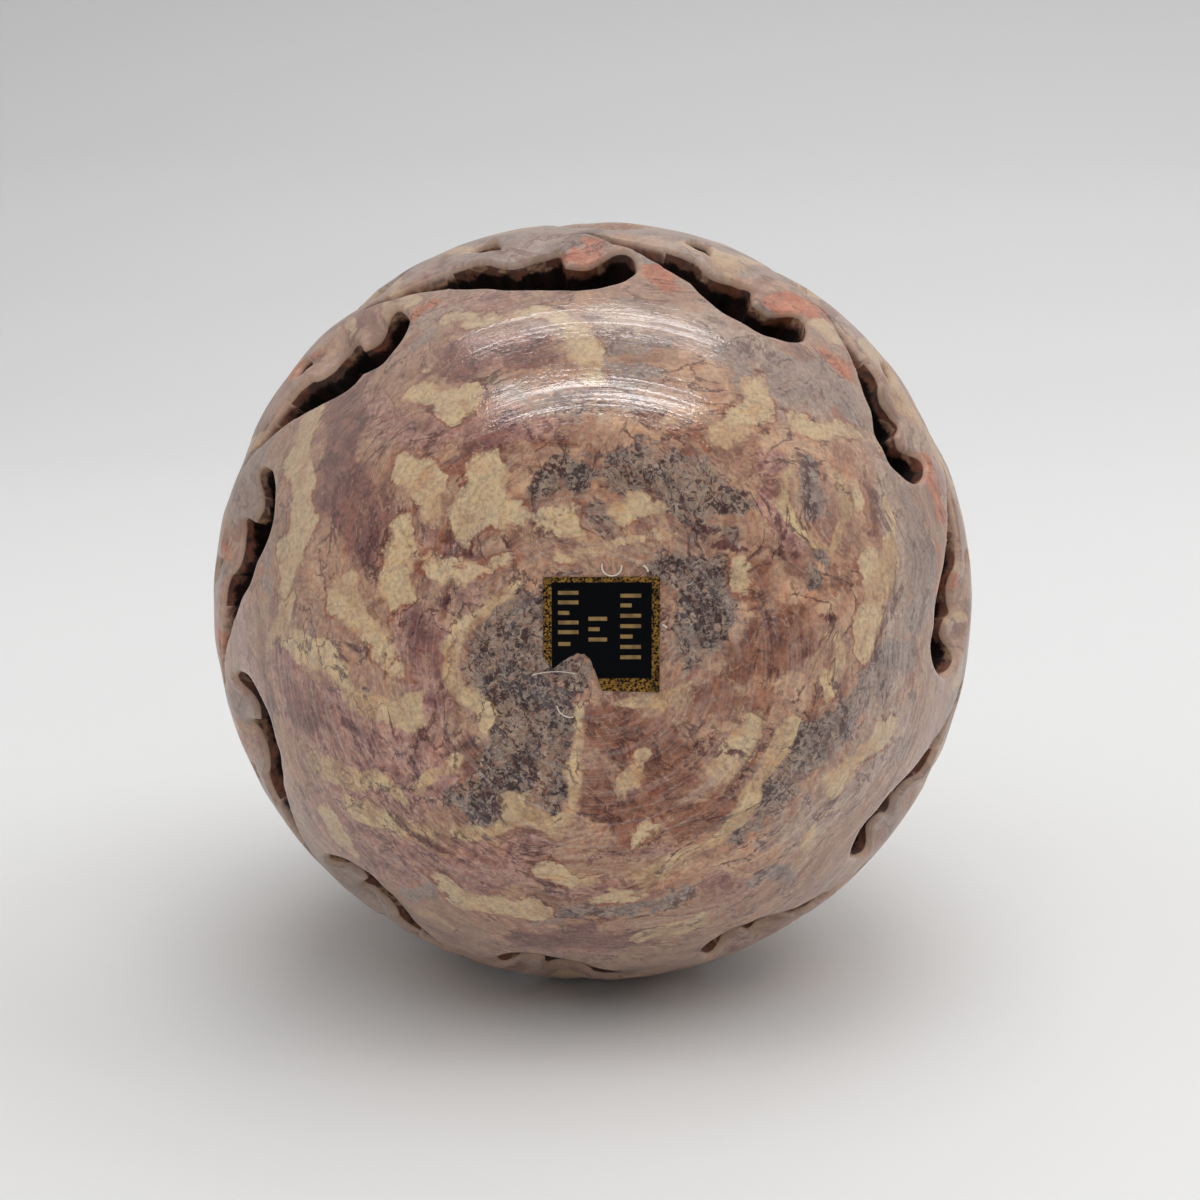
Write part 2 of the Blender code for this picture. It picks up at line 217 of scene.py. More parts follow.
def leaf_edge(t):
    """Polar angle of a bay's toothed edge, and of its tail's far edge."""
    teeth = 67.6 + 0.30 * t - TOOTH_RISE * ((t / TOOTH) % 1.0)
    tail = 69.4 + 0.23 * (t - 2.0 * TOOTH) + 0.12 * np.maximum(0.0, t - 28.0)
    return np.where(t >= 2.0 * TOOTH, tail, teeth)


def tail_floor(t):
    """Depth of a tail's floor, from the opening to where it runs out."""
    f = np.clip((TAIL_END - t) / (TAIL_END - THROUGH_END), 0.0, 1.0)
    return TAIL_DEPTH * f ** 0.8


def tail_side(t):
    """Width of each sloping side of a tail, in degrees of polar angle."""
    return np.minimum(0.3 + 0.22 * tail_floor(t), 0.36 * (leaf_edge(t) - cap_edge(t)))


def bay_outline(cusp):
    """A bay's outline as (along, polar, depth or None, corner): smooth edge, tail, teeth."""
    points = []
    for t in (0.0, 0.7, 2.2, 4.6, 7.6, 11.0, 14.5, 17.8, 21.0):
        points.append((t, float(cap_edge(t)), None, False))
    if cusp:
        at, rise = cusp
        points = [p for p in points if abs(p[0] - at) > 1.2]
        points.append((at, float(cap_edge(at)) + rise, None, True))
        points.sort()
    end = THROUGH_END
    side = float(tail_side(end))
    points.append((end, float(cap_edge(end)), None, True))
    points.append((end, float(cap_edge(end)) + side, TAIL_DEPTH, True))
    points.append((end, float(leaf_edge(end)) - side, TAIL_DEPTH, True))
    points.append((end, float(leaf_edge(end)), None, True))
    points.append((21.8, float(leaf_edge(21.8)), None, False))
    points.append((19.5, float(leaf_edge(19.5)) - 0.1, None, False))
    for start in (TOOTH, 0.0):
        tip = start + TOOTH - 0.01
        points.append((tip, float(leaf_edge(tip)), None, True))
        points.append((start + 6.8, float(leaf_edge(start + 6.8)) - 0.1, None, False))
        points.append((start + 3.8, float(leaf_edge(start + 3.8)) + 0.7, None, False))
        if start:
            points.append((start + 0.7, float(leaf_edge(start + 0.7)), None, False))
    points += [(1.3, 67.0, None, False), (0.25, 64.4, None, False)]
    return points


def comma_outline(t0, p0, t1, p1, width, teeth):
    """A smaller comma-shaped opening: blunt at its start, pointed at its end."""
    dt, dp = t1 - t0, p1 - p0
    size = math.hypot(dt, dp)
    off_t, off_p = dp / size * width, -dt / size * width
    near = [(0.0, 0.30), (0.10, 0.46), (0.34, 0.52), (0.60, 0.42), (0.82, 0.24)]
    far = [(0.74, 0.20, False), (0.66, 0.12, True), (0.60, 0.44, False), (0.34, 0.30, True),
           (0.26, 0.50, False), (0.05, 0.42, False)]
    if not teeth:
        far = [(0.74, 0.30, False), (0.40, 0.48, False), (0.08, 0.44, False)]
    points = []
    for u, w in near:
        points.append((t0 + dt * u + off_t * w, p0 + dp * u + off_p * w, None, False))
    points.append((t1, p1, None, True))
    for u, w, corner in far:
        points.append((t0 + dt * u - off_t * w, p0 + dp * u - off_p * w, None, corner))
    return points


def flow(points, corners):
    """A smooth closed curve through points, sharp at its corners, as dense samples."""
    count = len(points)
    samples, marks = [], []
    for i in range(count):
        a, b = points[i], points[(i + 1) % count]
        before = points[i - 1]
        after = points[(i + 2) % count]
        ta = (b - a) if corners[i] else 0.5 * (b - before)
        tb = (b - a) if corners[(i + 1) % count] else 0.5 * (after - a)
        length = np.linalg.norm((b - a)[:2]) + 1e-9
        for tangent in (ta, tb):
            reach = np.linalg.norm(tangent[:2])
            if reach > 1.2 * length:
                tangent *= 1.2 * length / reach
        for u in np.linspace(0.0, 0.9, 10):
            h00, h10 = 2 * u ** 3 - 3 * u ** 2 + 1, u ** 3 - 2 * u ** 2 + u
            h01, h11 = -2 * u ** 3 + 3 * u ** 2, u ** 3 - u ** 2
            samples.append(h00 * a + h10 * ta + h01 * b + h11 * tb)
            marks.append(bool(corners[i]) and u == 0.0)
    return np.array(samples), np.array(marks)


def walk(samples, marks, step):
    """The samples spaced out evenly on the stone, with every corner kept."""
    on_stone = place(samples[:, 0], samples[:, 1], 0.0)
    corners = list(np.where(marks)[0]) or [0]
    out = []
    for n, first in enumerate(corners):
        last = corners[(n + 1) % len(corners)]
        if last <= first:
            last += len(samples)
        index = np.arange(first, last + 1) % len(samples)
        run = np.linalg.norm(np.diff(on_stone[index], axis=0), axis=1)
        at = np.concatenate([[0.0], np.cumsum(run)])
        pieces = max(1, int(round(at[-1] / step)))
        targets = at[-1] * np.arange(pieces) / pieces
        columns = [np.interp(targets, at, samples[index, c]) for c in range(samples.shape[1])]
        out.append(np.stack(columns, axis=1))
    return np.concatenate(out)


def unchart(points):
    """Azimuth and polar angle of flat chart positions."""
    rho = np.hypot(points[:, 0], points[:, 1])
    polar = np.interp(-np.log(rho / CHART_SIZE), CHART_Q, CHART_ANGLES)
    return np.degrees(np.arctan2(points[:, 1], points[:, 0])), polar


def beside(az, polar, reach, away):
    """Places moved sideways over the stone by a distance in mm along chart directions."""
    r = RADIUS * np.sin(np.radians(polar))
    flat = chart(az, polar)
    scale = np.hypot(flat[:, 0], flat[:, 1]) / r
    return unchart(flat + away * (reach * scale)[:, None])


def ripple(points, size, seed):
    """Smooth waviness between about -1 and 1, of a given size in mm."""
    rng = np.random.RandomState(seed)
    total = np.zeros(len(points))
    for _ in range(7):
        way = rng.normal(size=3)
        way *= 2.0 * math.pi / (size * rng.uniform(0.8, 1.7) * np.linalg.norm(way))
        total += np.sin(points @ way + rng.uniform(0.0, 6.3))
    return total / 3.2


def inside(points, polygon):
    """Even-odd test of many chart points in one chart polygon."""
    odd = np.zeros(len(points), dtype=bool)
    x, y = points[:, 0], points[:, 1]
    for (ax, ay), (bx, by) in zip(np.roll(polygon, 1, axis=0), polygon):
        if ay == by:
            continue
        crosses = ((ay > y) != (by > y)) & (x < (bx - ax) * (y - ay) / (by - ay) + ax)
        odd ^= crosses
    return odd


def in_any(points, polygons):
    """Which chart points lie in any of the chart polygons."""
    found = np.zeros(len(points), dtype=bool)
    for polygon in polygons:
        low, high = polygon.min(axis=0), polygon.max(axis=0)
        near = np.where(np.all((points > low) & (points < high), axis=1) & ~found)[0]
        if len(near):
            found[near] = inside(points[near], polygon)
    return found


# ---- depths of the worked surface ----
def leaf_relief(t, polar):
    """Hollow worn into a leaf beside its teeth, with a tool facet behind each tooth."""
    ridge = np.where(t < 12.0, 68.6 + 0.72 * np.maximum(0.0, t), 77.2 - 0.75 * (t - 12.0))
    across = ease((ridge - polar) / 8.0)
    along = ease((t - 1.0) / 4.0) * (1.0 - ease((t - 18.0) / 4.0))
    past_edge = ease((polar - cap_edge(np.maximum(0.0, t)) - 3.0) / 3.0)
    hollow = SCOOP_DEPTH * across * along * past_edge
    within = np.abs(np.sin(math.pi * t / TOOTH)) ** 0.8
    behind = ease((67.6 + 0.30 * t + 4.0 - polar) / 5.0)
    return hollow + FACET_DEPTH * within * behind * along * past_edge


def comma_relief(t, polar, row):
    """The same beside a smaller opening, on its toothed side."""
    t0, p0, t1, p1, width = row[:5]
    dt, dp = t1 - t0, p1 - p0
    size = math.hypot(dt, dp)
    along = ((t - t0) * dt + (polar - p0) * dp) / size ** 2
    off = ((t - t0) * -dp + (polar - p0) * dt) / size
    window = ease((along + 0.05) / 0.25) * (1.0 - ease((along - 0.72) / 0.3))
    hollow = COMMA_SCOOP * window * ease((0.5 * width + 3.2 - off) / 3.4)
    facets = COMMA_FACET * np.abs(np.sin(math.pi * along / 0.33)) * window
    facets *= ease((0.5 * width + 2.4 - off) / 2.6)
    return np.where(off < 0.0, 0.0, hollow + facets)


def relief(az, polar):
    """Depth of the worked skin under the plain egg at any place, mm."""
    plain = polar - lean(az, polar)
    deepest = np.zeros(len(az))
    for start, stretch in zip(BLUNT_ENDS, STRETCH):
        t = ((az - start + 20.0) % 360.0 - 20.0) / stretch
        on = (t > 0.0) & (t < 24.0) & (plain < 84.0)
        deepest[on] = np.maximum(deepest[on], leaf_relief(t[on], plain[on]))
    turn = unit_turn(az) % PITCH
    for row in ROWS:
        for lap in (-PITCH, 0.0, PITCH):
            on = (plain > 74.0) & (np.abs(plain - row[1]) < 26.0)
            deepest[on] = np.maximum(deepest[on], comma_relief(turn[on] + lap, plain[on], row))
    return deepest


def tail_relief(az, polar):
    """Depth of the tails that run on from the openings, distance from a lip and floor, mm."""
    plain = polar - lean(az, polar)
    deepest = np.zeros(len(az))
    lip = np.full(len(az), 9.0)
    floor = np.zeros(len(az))
    for start, stretch in zip(BLUNT_ENDS, STRETCH):
        t = ((az - start + 10.0) % 360.0 - 10.0) / stretch
        side = np.maximum(tail_side(np.clip(t, THROUGH_END, TAIL_END)), 0.02)
        in_from_lip = np.minimum(plain - cap_edge(t), leaf_edge(t) - plain)
        depth = tail_floor(t) * ease(in_from_lip / side)
        along = (t >= THROUGH_END - 0.05) & (t < TAIL_END)
        on = along & (in_from_lip > 0.0)
        deepest = np.where(on, np.maximum(deepest, depth), deepest)
        floor = np.where(on, np.maximum(floor, tail_floor(t)), floor)
        faded = 0.53 * np.abs(in_from_lip) + 0.25 * np.maximum(t - 33.0, 0.0)
        lip = np.where(along, np.minimum(lip, faded), lip)
    return deepest, lip, floor


def rim_drop(gap):
    """How far a worn edge has sunk at a distance from the edge."""
    over = np.clip(RIM - gap, 0.0, RIM)
    return RIM - np.sqrt(RIM ** 2 - over ** 2)


# ---- the pierced skin ----
class Opening:
    """One opening's edge, as evenly spaced places with the depth of their rim."""

    def __init__(self, points, seed, step, levels):
        az_polar = np.array([[p[0], p[1], p[2] or 0.0] for p in points])
        samples, marks = flow(az_polar, [p[3] for p in points])
        edge = walk(samples, marks, step)
        self.levels = levels
        flat = chart(edge[:, 0], edge[:, 1])
        ahead = np.roll(flat, -1, axis=0) - np.roll(flat, 1, axis=0)
        side = np.stack([ahead[:, 1], -ahead[:, 0]], axis=1)
        side /= np.linalg.norm(side, axis=1)[:, None] + 1e-12
        turning = flat[:, 0] * np.roll(flat[:, 1], -1) - flat[:, 1] * np.roll(flat[:, 0], -1)
        if turning.sum() < 0.0:
            side = -side
        self.away = side
        spot = place(edge[:, 0], edge[:, 1], 0.0)
        tremble = TREMBLE * ripple(spot, 5.0, seed) + 0.5 * TREMBLE * ripple(spot, 1.7, seed + 1)
        self.calm = np.where(edge[:, 2] > 0.2, 0.0, 1.0)
        for corner in place(samples[marks, 0], samples[marks, 1], 0.0):
            self.calm *= ease((np.linalg.norm(spot - corner, axis=1) - 0.2) / 1.3)
        self.az, self.polar = beside(edge[:, 0], edge[:, 1], tremble * self.calm, side)
        self.tail = edge[:, 2]
        self.spot = place(self.az, self.polar, 0.0)
        self.run = np.cumsum(np.linalg.norm(self.spot - np.roll(self.spot, 1, axis=0), axis=1))
        self.seed = seed

    def wall_places(self, f):
        """The wall's places at a fraction of the way in, with the flutes of the cutter."""
        bottom = wall(self.polar) + WALL_WAVE * ripple(self.spot, 4.0, 11)
        depth = self.start + (bottom - self.start) * f ** 1.8
        depth = np.maximum(depth, self.start + 0.03 * f)
        width = FLUTE_WIDTH + 0.5 * math.sin(1.7 * self.seed)
        wander = 0.9 * ripple(self.spot, 6.0, self.seed + 2)
        flute = np.abs(np.sin(math.pi * self.run / width + wander))
        into = FLUTE_DEPTH * flute * ease(1.6 * f)
        chips = CHIP_DEPTH * ripple(self.spot - depth[:, None], 2.6, self.seed + 5)
        into += chips * ease(2.0 * f)
        az, polar = beside(self.az, self.polar, into * self.calm, self.away)
        return az, polar, depth


def bay_azimuth(k, t):
    """Azimuth of a place along a bay."""
    return BLUNT_ENDS[k] + t * STRETCH[k]


def row_azimuth(k, t):
    """Azimuth of a place along a bay's share of the rows further on."""
    return float(azimuth(k * PITCH + t))


def laid(points, azimuth_at, k):
    """Outline points given by their place along bay k, laid on the leaning ring."""
    out = []
    for t, polar, depth, corner in points:
        az = azimuth_at(k, t)
        out.append((az, polar + float(lean(az, polar)), depth, corner))
    return out


def tail_outline(k):
    """Chart outline of the tail that runs on from bay k."""
    ts = np.linspace(THROUGH_END, TAIL_END, 18)
    lips = [(t, float(cap_edge(t))) for t in ts] + [(t, float(leaf_edge(t))) for t in ts[::-1]]
    points = laid([(t, p, None, False) for t, p in lips], bay_azimuth, k)
    return chart(np.array([p[0] for p in points]), np.array([p[1] for p in points]))


def openings(fine):
    """Every opening of the carved part, the bays first."""
    found = []
    for k in range(len(BLUNT_ENDS)):
        edge = laid(bay_outline(CUSPS.get(k)), bay_azimuth, k)
        found.append(Opening(edge, 100 + k, BAY_STEP * fine, 7))
        edge = laid([(t, p, None, False) for t, p in PIERCING], bay_azimuth, k)
        found.append(Opening(edge, 200 + k, BAY_STEP * fine, 5))
        for n, (row, step) in enumerate(zip(ROWS, ROW_STEPS)):
            edge = laid(comma_outline(*row), row_azimuth, k)
            found.append(Opening(edge, 300 + 20 * k + n, step * fine, 4 if n else 5))
    return found


def ring_places(step_at, first, last):
    """Places on rings round the axis, staggered, with a spacing that may change."""
    az, polar = [], []
    at, ring = first, 0
    while at < last:
        step = step_at(at)
        r = RADIUS * math.sin(math.radians(at))
        n = max(7, int(round(2.0 * math.pi * r / step)))
        az.append(360.0 * (np.arange(n) + 0.5 * (ring % 2)) / n - 180.0)
        polar.append(np.full(n, at))
        semi = FAT_SEMI if at < 90.0 else TIP_SEMI
        a = math.radians(at)
        at += math.degrees(0.87 * step / math.hypot(RADIUS * math.cos(a), semi * math.sin(a)))
        ring += 1
    return np.concatenate(az), np.concatenate(polar)


def tail_places(fine):
    """Places down the tails, and the pairs of them that run along a tail."""
    az, polar, pairs = [], [], []
    across = [0.0, 0.2, 0.4, 0.6, 0.8, 1.0]
    for k in range(len(BLUNT_ENDS)):
        last = None
        for t in np.arange(THROUGH_END + 0.6, TAIL_END - 0.5, 0.6 * fine):
            a, b, side = float(cap_edge(t)), float(leaf_edge(t)), float(tail_side(t))
            middle = [a + side + (b - a - 2 * side) * f for f in (0.33, 0.67)]
            spots = [a + side * f for f in across] + middle
            spots += [b - side * f for f in reversed(across)]
            now = list(range(len(az), len(az) + len(spots)))
            for p in spots:
                az.append(bay_azimuth(k, t))
                polar.append(p + float(lean(az[-1], p)))
            if last:
                pairs += list(zip(last, now))
            last = now
    return np.array(az), np.array(polar), pairs


def search_tree(points):
    """A tree that finds the nearest of many points."""
    tree = KDTree(len(points))
    for i, p in enumerate(points):
        tree.insert(p, i)
    tree.balance()
    return tree


class CutEdges:
    """The edges of all openings together, to measure how far a place is from them."""

    def __init__(self, holes):
        self.spots = np.concatenate([h.spot for h in holes])
        self.loops = [(h.spot, n) for h in holes for n in range(len(h.spot))]
        self.tree = search_tree(self.spots)

    def gap(self, az, polar):
        """Distance from each place to the nearest edge of an opening, mm."""
        points = place(az, polar, 0.0)
        gaps = np.empty(len(points))
        for i, p in enumerate(points):
            _, number, distance = self.tree.find(p)
            gaps[i] = distance if distance > 2.0 else self.from_lines(p, number, distance)
        return gaps

    def from_lines(self, p, number, distance):
        """The same for one point, to the lines on both sides of its nearest spot."""
        loop, n = self.loops[number]
        here = loop[n]
        for other in (loop[n - 1], loop[(n + 1) % len(loop)]):
            along = other - here
            u = float(np.dot(p - here, along) / (np.dot(along, along) + 1e-12))
            u = min(1.0, max(0.0, u))
            distance = min(distance, float(np.linalg.norm(p - here - u * along)))
        return distance


def thinned(az, polar, taken, spacing):
    """The places that keep their spacing from all that are already taken."""
    tree = search_tree(taken)
    points = place(az, polar, 0.0)
    keep = np.array([tree.find(p)[2] > s for p, s in zip(points, spacing)])
    return az[keep], polar[keep]


def spread_skin(holes, az, polar, lines):
    """Triangles over the chart between the holes; the holes' places come first."""
    all_az = np.concatenate([h[0] for h in holes] + [az, [0.0]])
    all_polar = np.concatenate([h[1] for h in holes] + [polar, [180.0]])
    flat = chart(all_az, all_polar)
    flat[-1] = 0.0
    edges, first = list(lines), 0
    polygons = []
    for h in holes:
        n = len(h[0])
        edges += [(first + i, first + (i + 1) % n) for i in range(n)]
        polygons.append(flat[first:first + n])
        first += n
    result = delaunay_2d_cdt([Vector(p) for p in flat], edges, [], 0, 1e-7)
    corners = np.array([[result[3][v][0] if result[3][v] else -1 for v in f] for f in result[2]])
    good = (corners.min(axis=1) >= 0) & (corners[:, 0] != corners[:, 1])
    good &= (corners[:, 1] != corners[:, 2]) & (corners[:, 0] != corners[:, 2])
    corners = corners[good]
    centres = flat[corners].mean(axis=1)
    corners = corners[~in_any(centres, polygons)]
    return all_az, all_polar, corners


def rim_places(holes, edges, tails):
    """Places beside every cut edge, so that its worn rounding has something to bend."""
    az, polar = [], []
    for h in holes:
        for reach in (NEAR_REACHES if h.levels > 4 else FAR_REACHES):
            near_az, near_polar = beside(h.az, h.polar, reach, h.away)
            keep = edges.gap(near_az, near_polar) > 0.82 * reach
            keep &= ~in_any(chart(near_az, near_polar), tails)
            az.append(near_az[keep])
            polar.append(near_polar[keep])
    return np.concatenate(az), np.concatenate(polar)


def skin_places(holes, edges, fine):
    """All places of the skin between the openings, and the lines that run down the tails."""
    polygons = [chart(h.az, h.polar) for h in holes]
    tails = [tail_outline(k) for k in range(len(BLUNT_ENDS))]
    az, polar = rim_places(holes, edges, tails)
    keep = ~in_any(chart(az, polar), polygons)
    az, polar = az[keep], polar[keep]
    tail_az, tail_polar, pairs = tail_places(fine)
    keep = ~in_any(chart(tail_az, tail_polar), polygons)
    keep &= edges.gap(tail_az, tail_polar) > 0.1
    number = np.cumsum(keep) - 1 + len(edges.spots) + len(az)
    lines = [(int(number[a]), int(number[b])) for a, b in pairs if keep[a] and keep[b]]
    az = np.concatenate([az, tail_az[keep]])
    polar = np.concatenate([polar, tail_polar[keep]])

    def spacing(at):
        return fine * float(np.interp(at, RING_POLAR, RING_SPACING))

    ring_az, ring_polar = ring_places(spacing, 1.6, 178.8)
    keep = ~in_any(chart(ring_az, ring_polar), polygons + tails)
    ring_az, ring_polar = ring_az[keep], ring_polar[keep]
    taken = np.concatenate([edges.spots, place(az, polar, 0.0)])
    limits = CROWDED * np.array([spacing(p) for p in ring_polar])
    ring_az, ring_polar = thinned(ring_az, ring_polar, taken, limits)
    return np.concatenate([az, ring_az]), np.concatenate([polar, ring_polar]), lines


def mark(bm, verts, sunk, wear_and_edge_highlight, shade):
    """Notes on each vertex how deep it is cut in, how much pale worn rim with its painted highlight it
    shows, and how much painted shade it takes.
    """
    layers = [bm.verts.layers.float[name] for name in LAYERS]
    for v, *values in zip(verts, sunk, wear_and_edge_highlight, shade):
        for layer, value in zip(layers, values):
            v[layer] = value


def add_skin(bm, holes, fine):
    """The worked outer skin; each opening's edge comes back as a ring of its vertices."""
    edges = CutEdges(holes)
    az, polar, lines = skin_places(holes, edges, fine)
    az, polar, skin = spread_skin([(h.az, h.polar) for h in holes], az, polar, lines)
    count = len(edges.spots)
    gap = np.zeros(len(az))
    gap[count:] = edges.gap(az[count:], polar[count:])
    tail, lip, floor = tail_relief(az, polar)
    tail[:count] = np.concatenate([h.tail for h in holes])
    sunk = np.maximum(relief(az, polar) + rim_drop(np.minimum(gap, lip + 0.1)), tail)
    uneven = CARVED_SINK + CARVED_WAVE * ripple(place(az, polar, 0.0), 3.0, 7)
    sunk += ease((polar - 56.0) / 6.0) * uneven

    outer = [bm.verts.new(p) for p in settle(place(az, polar, sunk))]
    # pale rim along every cut edge: partly real wear, partly a painted highlight where the rounded edge
    # catches the light
    wear_and_edge_highlight = np.exp(-(np.minimum(gap, lip) / 0.3) ** 2) * (1.0 - ease((tail - 0.4) / 0.8))
    # painted shade down each tail, darkest where its floor runs deep towards the opening
    shade = ease((tail - 0.2) / 1.3) * ease((floor - 0.8) / 3.6)
    mark(bm, outer, tail, wear_and_edge_highlight, shade)
    for a, b, c in skin:
        bm.faces.new((outer[a], outer[b], outer[c]))
    close_pole(bm, outer)
    rings, number = [], 0
    for h in holes:
        rings.append(outer[number:number + len(h.az)])
        h.start = sunk[number:number + len(h.az)]
        number += len(h.az)
    return rings


def add_walls(bm, holes, rings):
    """Carries every edge inwards step by step, so that the walls show the cutter's flutes."""
    for level in range(1, max(h.levels for h in holes) + 1):
        active = [i for i, h in enumerate(holes) if h.levels >= level]
        for i, ring in zip(active, lower_rings(bm, [rings[i] for i in active])):
            az, polar, depth = holes[i].wall_places(level / holes[i].levels)
            for v, p in zip(ring, settle(place(az, polar, depth))):
                v.co = p
            below = depth - holes[i].start
            # painted shade on the walls, dark from just under the rim inwards
            mark(bm, ring, 1.0 + below, np.zeros(len(ring)), ease((below + 0.1) / 1.5))
            rings[i] = ring
    return rings


def add_lining(bm, holes, rims, fine):
    """The rough lining: the walls' last rings and a loose set of places between them."""
    ends = [h.wall_places(1.0)[:2] for h in holes]
    az, polar = ring_places(lambda at: LINING_STEP * fine, 4.0, 177.0)
    keep = ~in_any(chart(az, polar), [chart(*end) for end in ends])
    az, polar = az[keep], polar[keep]
    taken = np.concatenate([place(*end, 0.0) for end in ends])
    az, polar = thinned(az, polar, taken, np.full(len(az), 0.9 * fine))
    az, polar, skin = spread_skin(ends, az, polar, [])
    depth = wall(polar) + WALL_WAVE * ripple(place(az, polar, 0.0), 4.0, 12)
    inner = [v for ring in rims for v in ring]
    count = len(inner)
    inner += [bm.verts.new(p) for p in settle(place(az, polar, depth))[count:]]
    between = len(inner) - count
    # the lining takes full painted shade, so the inside of the egg is painted near-black
    mark(bm, inner[count:], depth[count:], np.zeros(between), np.ones(between))
    for a, b, c in skin:
        bm.faces.new((inner[a], inner[c], inner[b]))
    close_pole(bm, inner)


def carve_egg(fine):
    """The whole pierced stone as one mesh: worked skin, cut walls and rough lining."""
    holes = openings(fine)
    bm = bmesh.new()
    for name in LAYERS:
        bm.verts.layers.float.new(name)
    rings = add_skin(bm, holes, fine)
    rims = add_walls(bm, holes, rings)
    add_lining(bm, holes, rims, fine)
    bm.normal_update()
    bmesh.ops.recalc_face_normals(bm, faces=bm.faces)
    return bm


def close_pole(bm, verts):
    """Closes the small ring left round the fat pole."""
    mine = set(verts)
    edges = [e for e in bm.edges if e.is_boundary and e.verts[0] in mine
             and math.hypot(e.verts[0].co.x, e.verts[0].co.z - SHIFT[2] * 0.001) < 0.003
             and e.verts[0].co.y < 0.0]
    made = bmesh.ops.contextual_create(bm, geom=edges)
    bmesh.ops.poke(bm, faces=made["faces"])


def lower_rings(bm, rings):
    """New rings extruded from closed rings of vertices, in the same order."""
    edges = [bm.edges.get((ring[i - 1], ring[i])) for ring in rings for i in range(len(ring))]
    made = bmesh.ops.extrude_edge_only(bm, edges=edges)
    fresh = {v for v in made["geom"] if isinstance(v, bmesh.types.BMVert)}
    return [[next(e.other_vert(v) for e in v.link_edges if e.other_vert(v) in fresh)
             for v in ring] for ring in rings]


def finished(bm, name):
    """A smooth-shaded object at the origin from a bmesh."""
    mesh = bpy.data.meshes.new(name)
    bm.to_mesh(mesh)
    bm.free()
    mesh.shade_smooth()
    obj = bpy.data.objects.new(name, mesh)
    bpy.context.scene.collection.objects.link(obj)
    return obj


# ---- where each colour lies on the fat end: strokes of (across, up, half width) in mm ----
CREAM = [
    # left of the plum cloud, and down its outer side
    [(-19.5, 17, 1), (-21, 13, 1.5), (-20, 9, 1), (-22, 4, 1)],
    [(-17, 4, 1.5), (-14, 1, 1), (-13, -1, 0.5)],
    [(-13, 9, 1), (-13, 5, 1)],
    # between the plum cloud and the label
    [(-12, 18, 1), (-9, 17, 1.5)],
    [(-13, 12.5, 1), (-11, 12, 1.5), (-10.5, 9.5, 1)],
    [(-7.5, 13.5, 1), (-7.5, 11, 1.5), (-8.5, 9.5, 1)],
    [(-5.5, 10, 1), (-4, 8.5, 0.5), (-2, 10, 1), (-0.5, 8.5, 0.5)],
    [(-11.5, 6, 1), (-6, 7, 0.5), (0.5, 7.5, 0.5), (5, 8.5, 0.5)],
    # above the label, up to the ring of bays
    [(-10, 22.5, 1), (-3, 23, 1), (-1.5, 22, 1), (0, 19, 1)],
    [(1.5, 10, 1), (4, 10.5, 0.5)],
    [(8, 15, 1), (10.5, 16, 1), (11, 18, 1)],
    # right
    [(9.5, 7, 0.5), (10, 5, 0.5)],
    [(14, 15.5, 1), (20, 14, 0.5)],
    [(17.5, 12, 0.5), (18, 9, 0.5)],
    [(19, 6, 1), (18.5, 0.5, 1)],
    [(20.5, -6, 1), (16.5, -9, 1)],
    [(10.5, -4, 1), (8.5, -7, 1)],
    # below
    [(2.5, -12, 0.5), (4, -11, 0.5)],
    [(-3, -14.5, 1), (-1, -15.5, 1)],
    [(0, -17, 0.5), (4, -16, 0.5)],
    [(-11, -16, 0.5), (-9, -18, 1), (-4, -18, 1)],
    [(-19, -12.5, 1), (-18, -15, 1)],
    [(-12, -20, 1), (-10.5, -21.5, 0.5)],
]
CREAM_LINES = [
    # round the grey patch left of the label, and down its right side
    [(-5.5, 5, 0.5), (-9, 2.5, 0.75), (-10, 0, 0.75), (-9, -2, 0.75), (-7, -3, 0.75), (-8, -5.5, 0.5)],
    [(-1, -2.5, 0.5), (-1.5, -10, 0.5), (-3, -11.5, 0.75), (-6, -9.5, 0.5)],
    [(1.5, -3, 0.5), (4, -3, 0.75), (6, -1.5, 0.75)],
    [(3, -6.5, 0.75), (2, -8.5, 0.5)],
    # left
    [(-21.5, 3, 1), (-22.5, 0, 1), (-18.5, 0, 1), (-16.5, -3, 1), (-12.5, -3.5, 1), (-11.5, -2, 0.5)],
    [(-19.5, -8.5, 1), (-14.5, -8.5, 1), (-13, -10, 0.5)],
    [(-12, -9, 0.5), (-10, -7, 0.75)],
    [(-17, -11, 1), (-14, -12.5, 1), (-8, -11.5, 0.5), (-5.5, -10.5, 0.75)],
    # right, with a loop above and a long band that runs down and under
    [(13, 12.5, 0.5), (12.5, 10.5, 0.5), (14, 8, 0.5), (16, 7, 0.5), (17, 10, 0.5), (16.5, 12.5, 0.5)],
    [(20.5, 10, 0.5), (20.5, 6, 1), (19.5, 2.5, 0.5)],
    [(16.5, 1, 0.75), (16, -2.5, 0.5)],
    [(13, -4.5, 0.75), (11, -8.5, 0.75), (8, -12.5, 0.75), (3, -15.5, 0.75)],
    [(16, -11.5, 0.5), (14.5, -15, 0.75)],
    [(7.5, -19.5, 1), (3, -21, 0.75)],
]
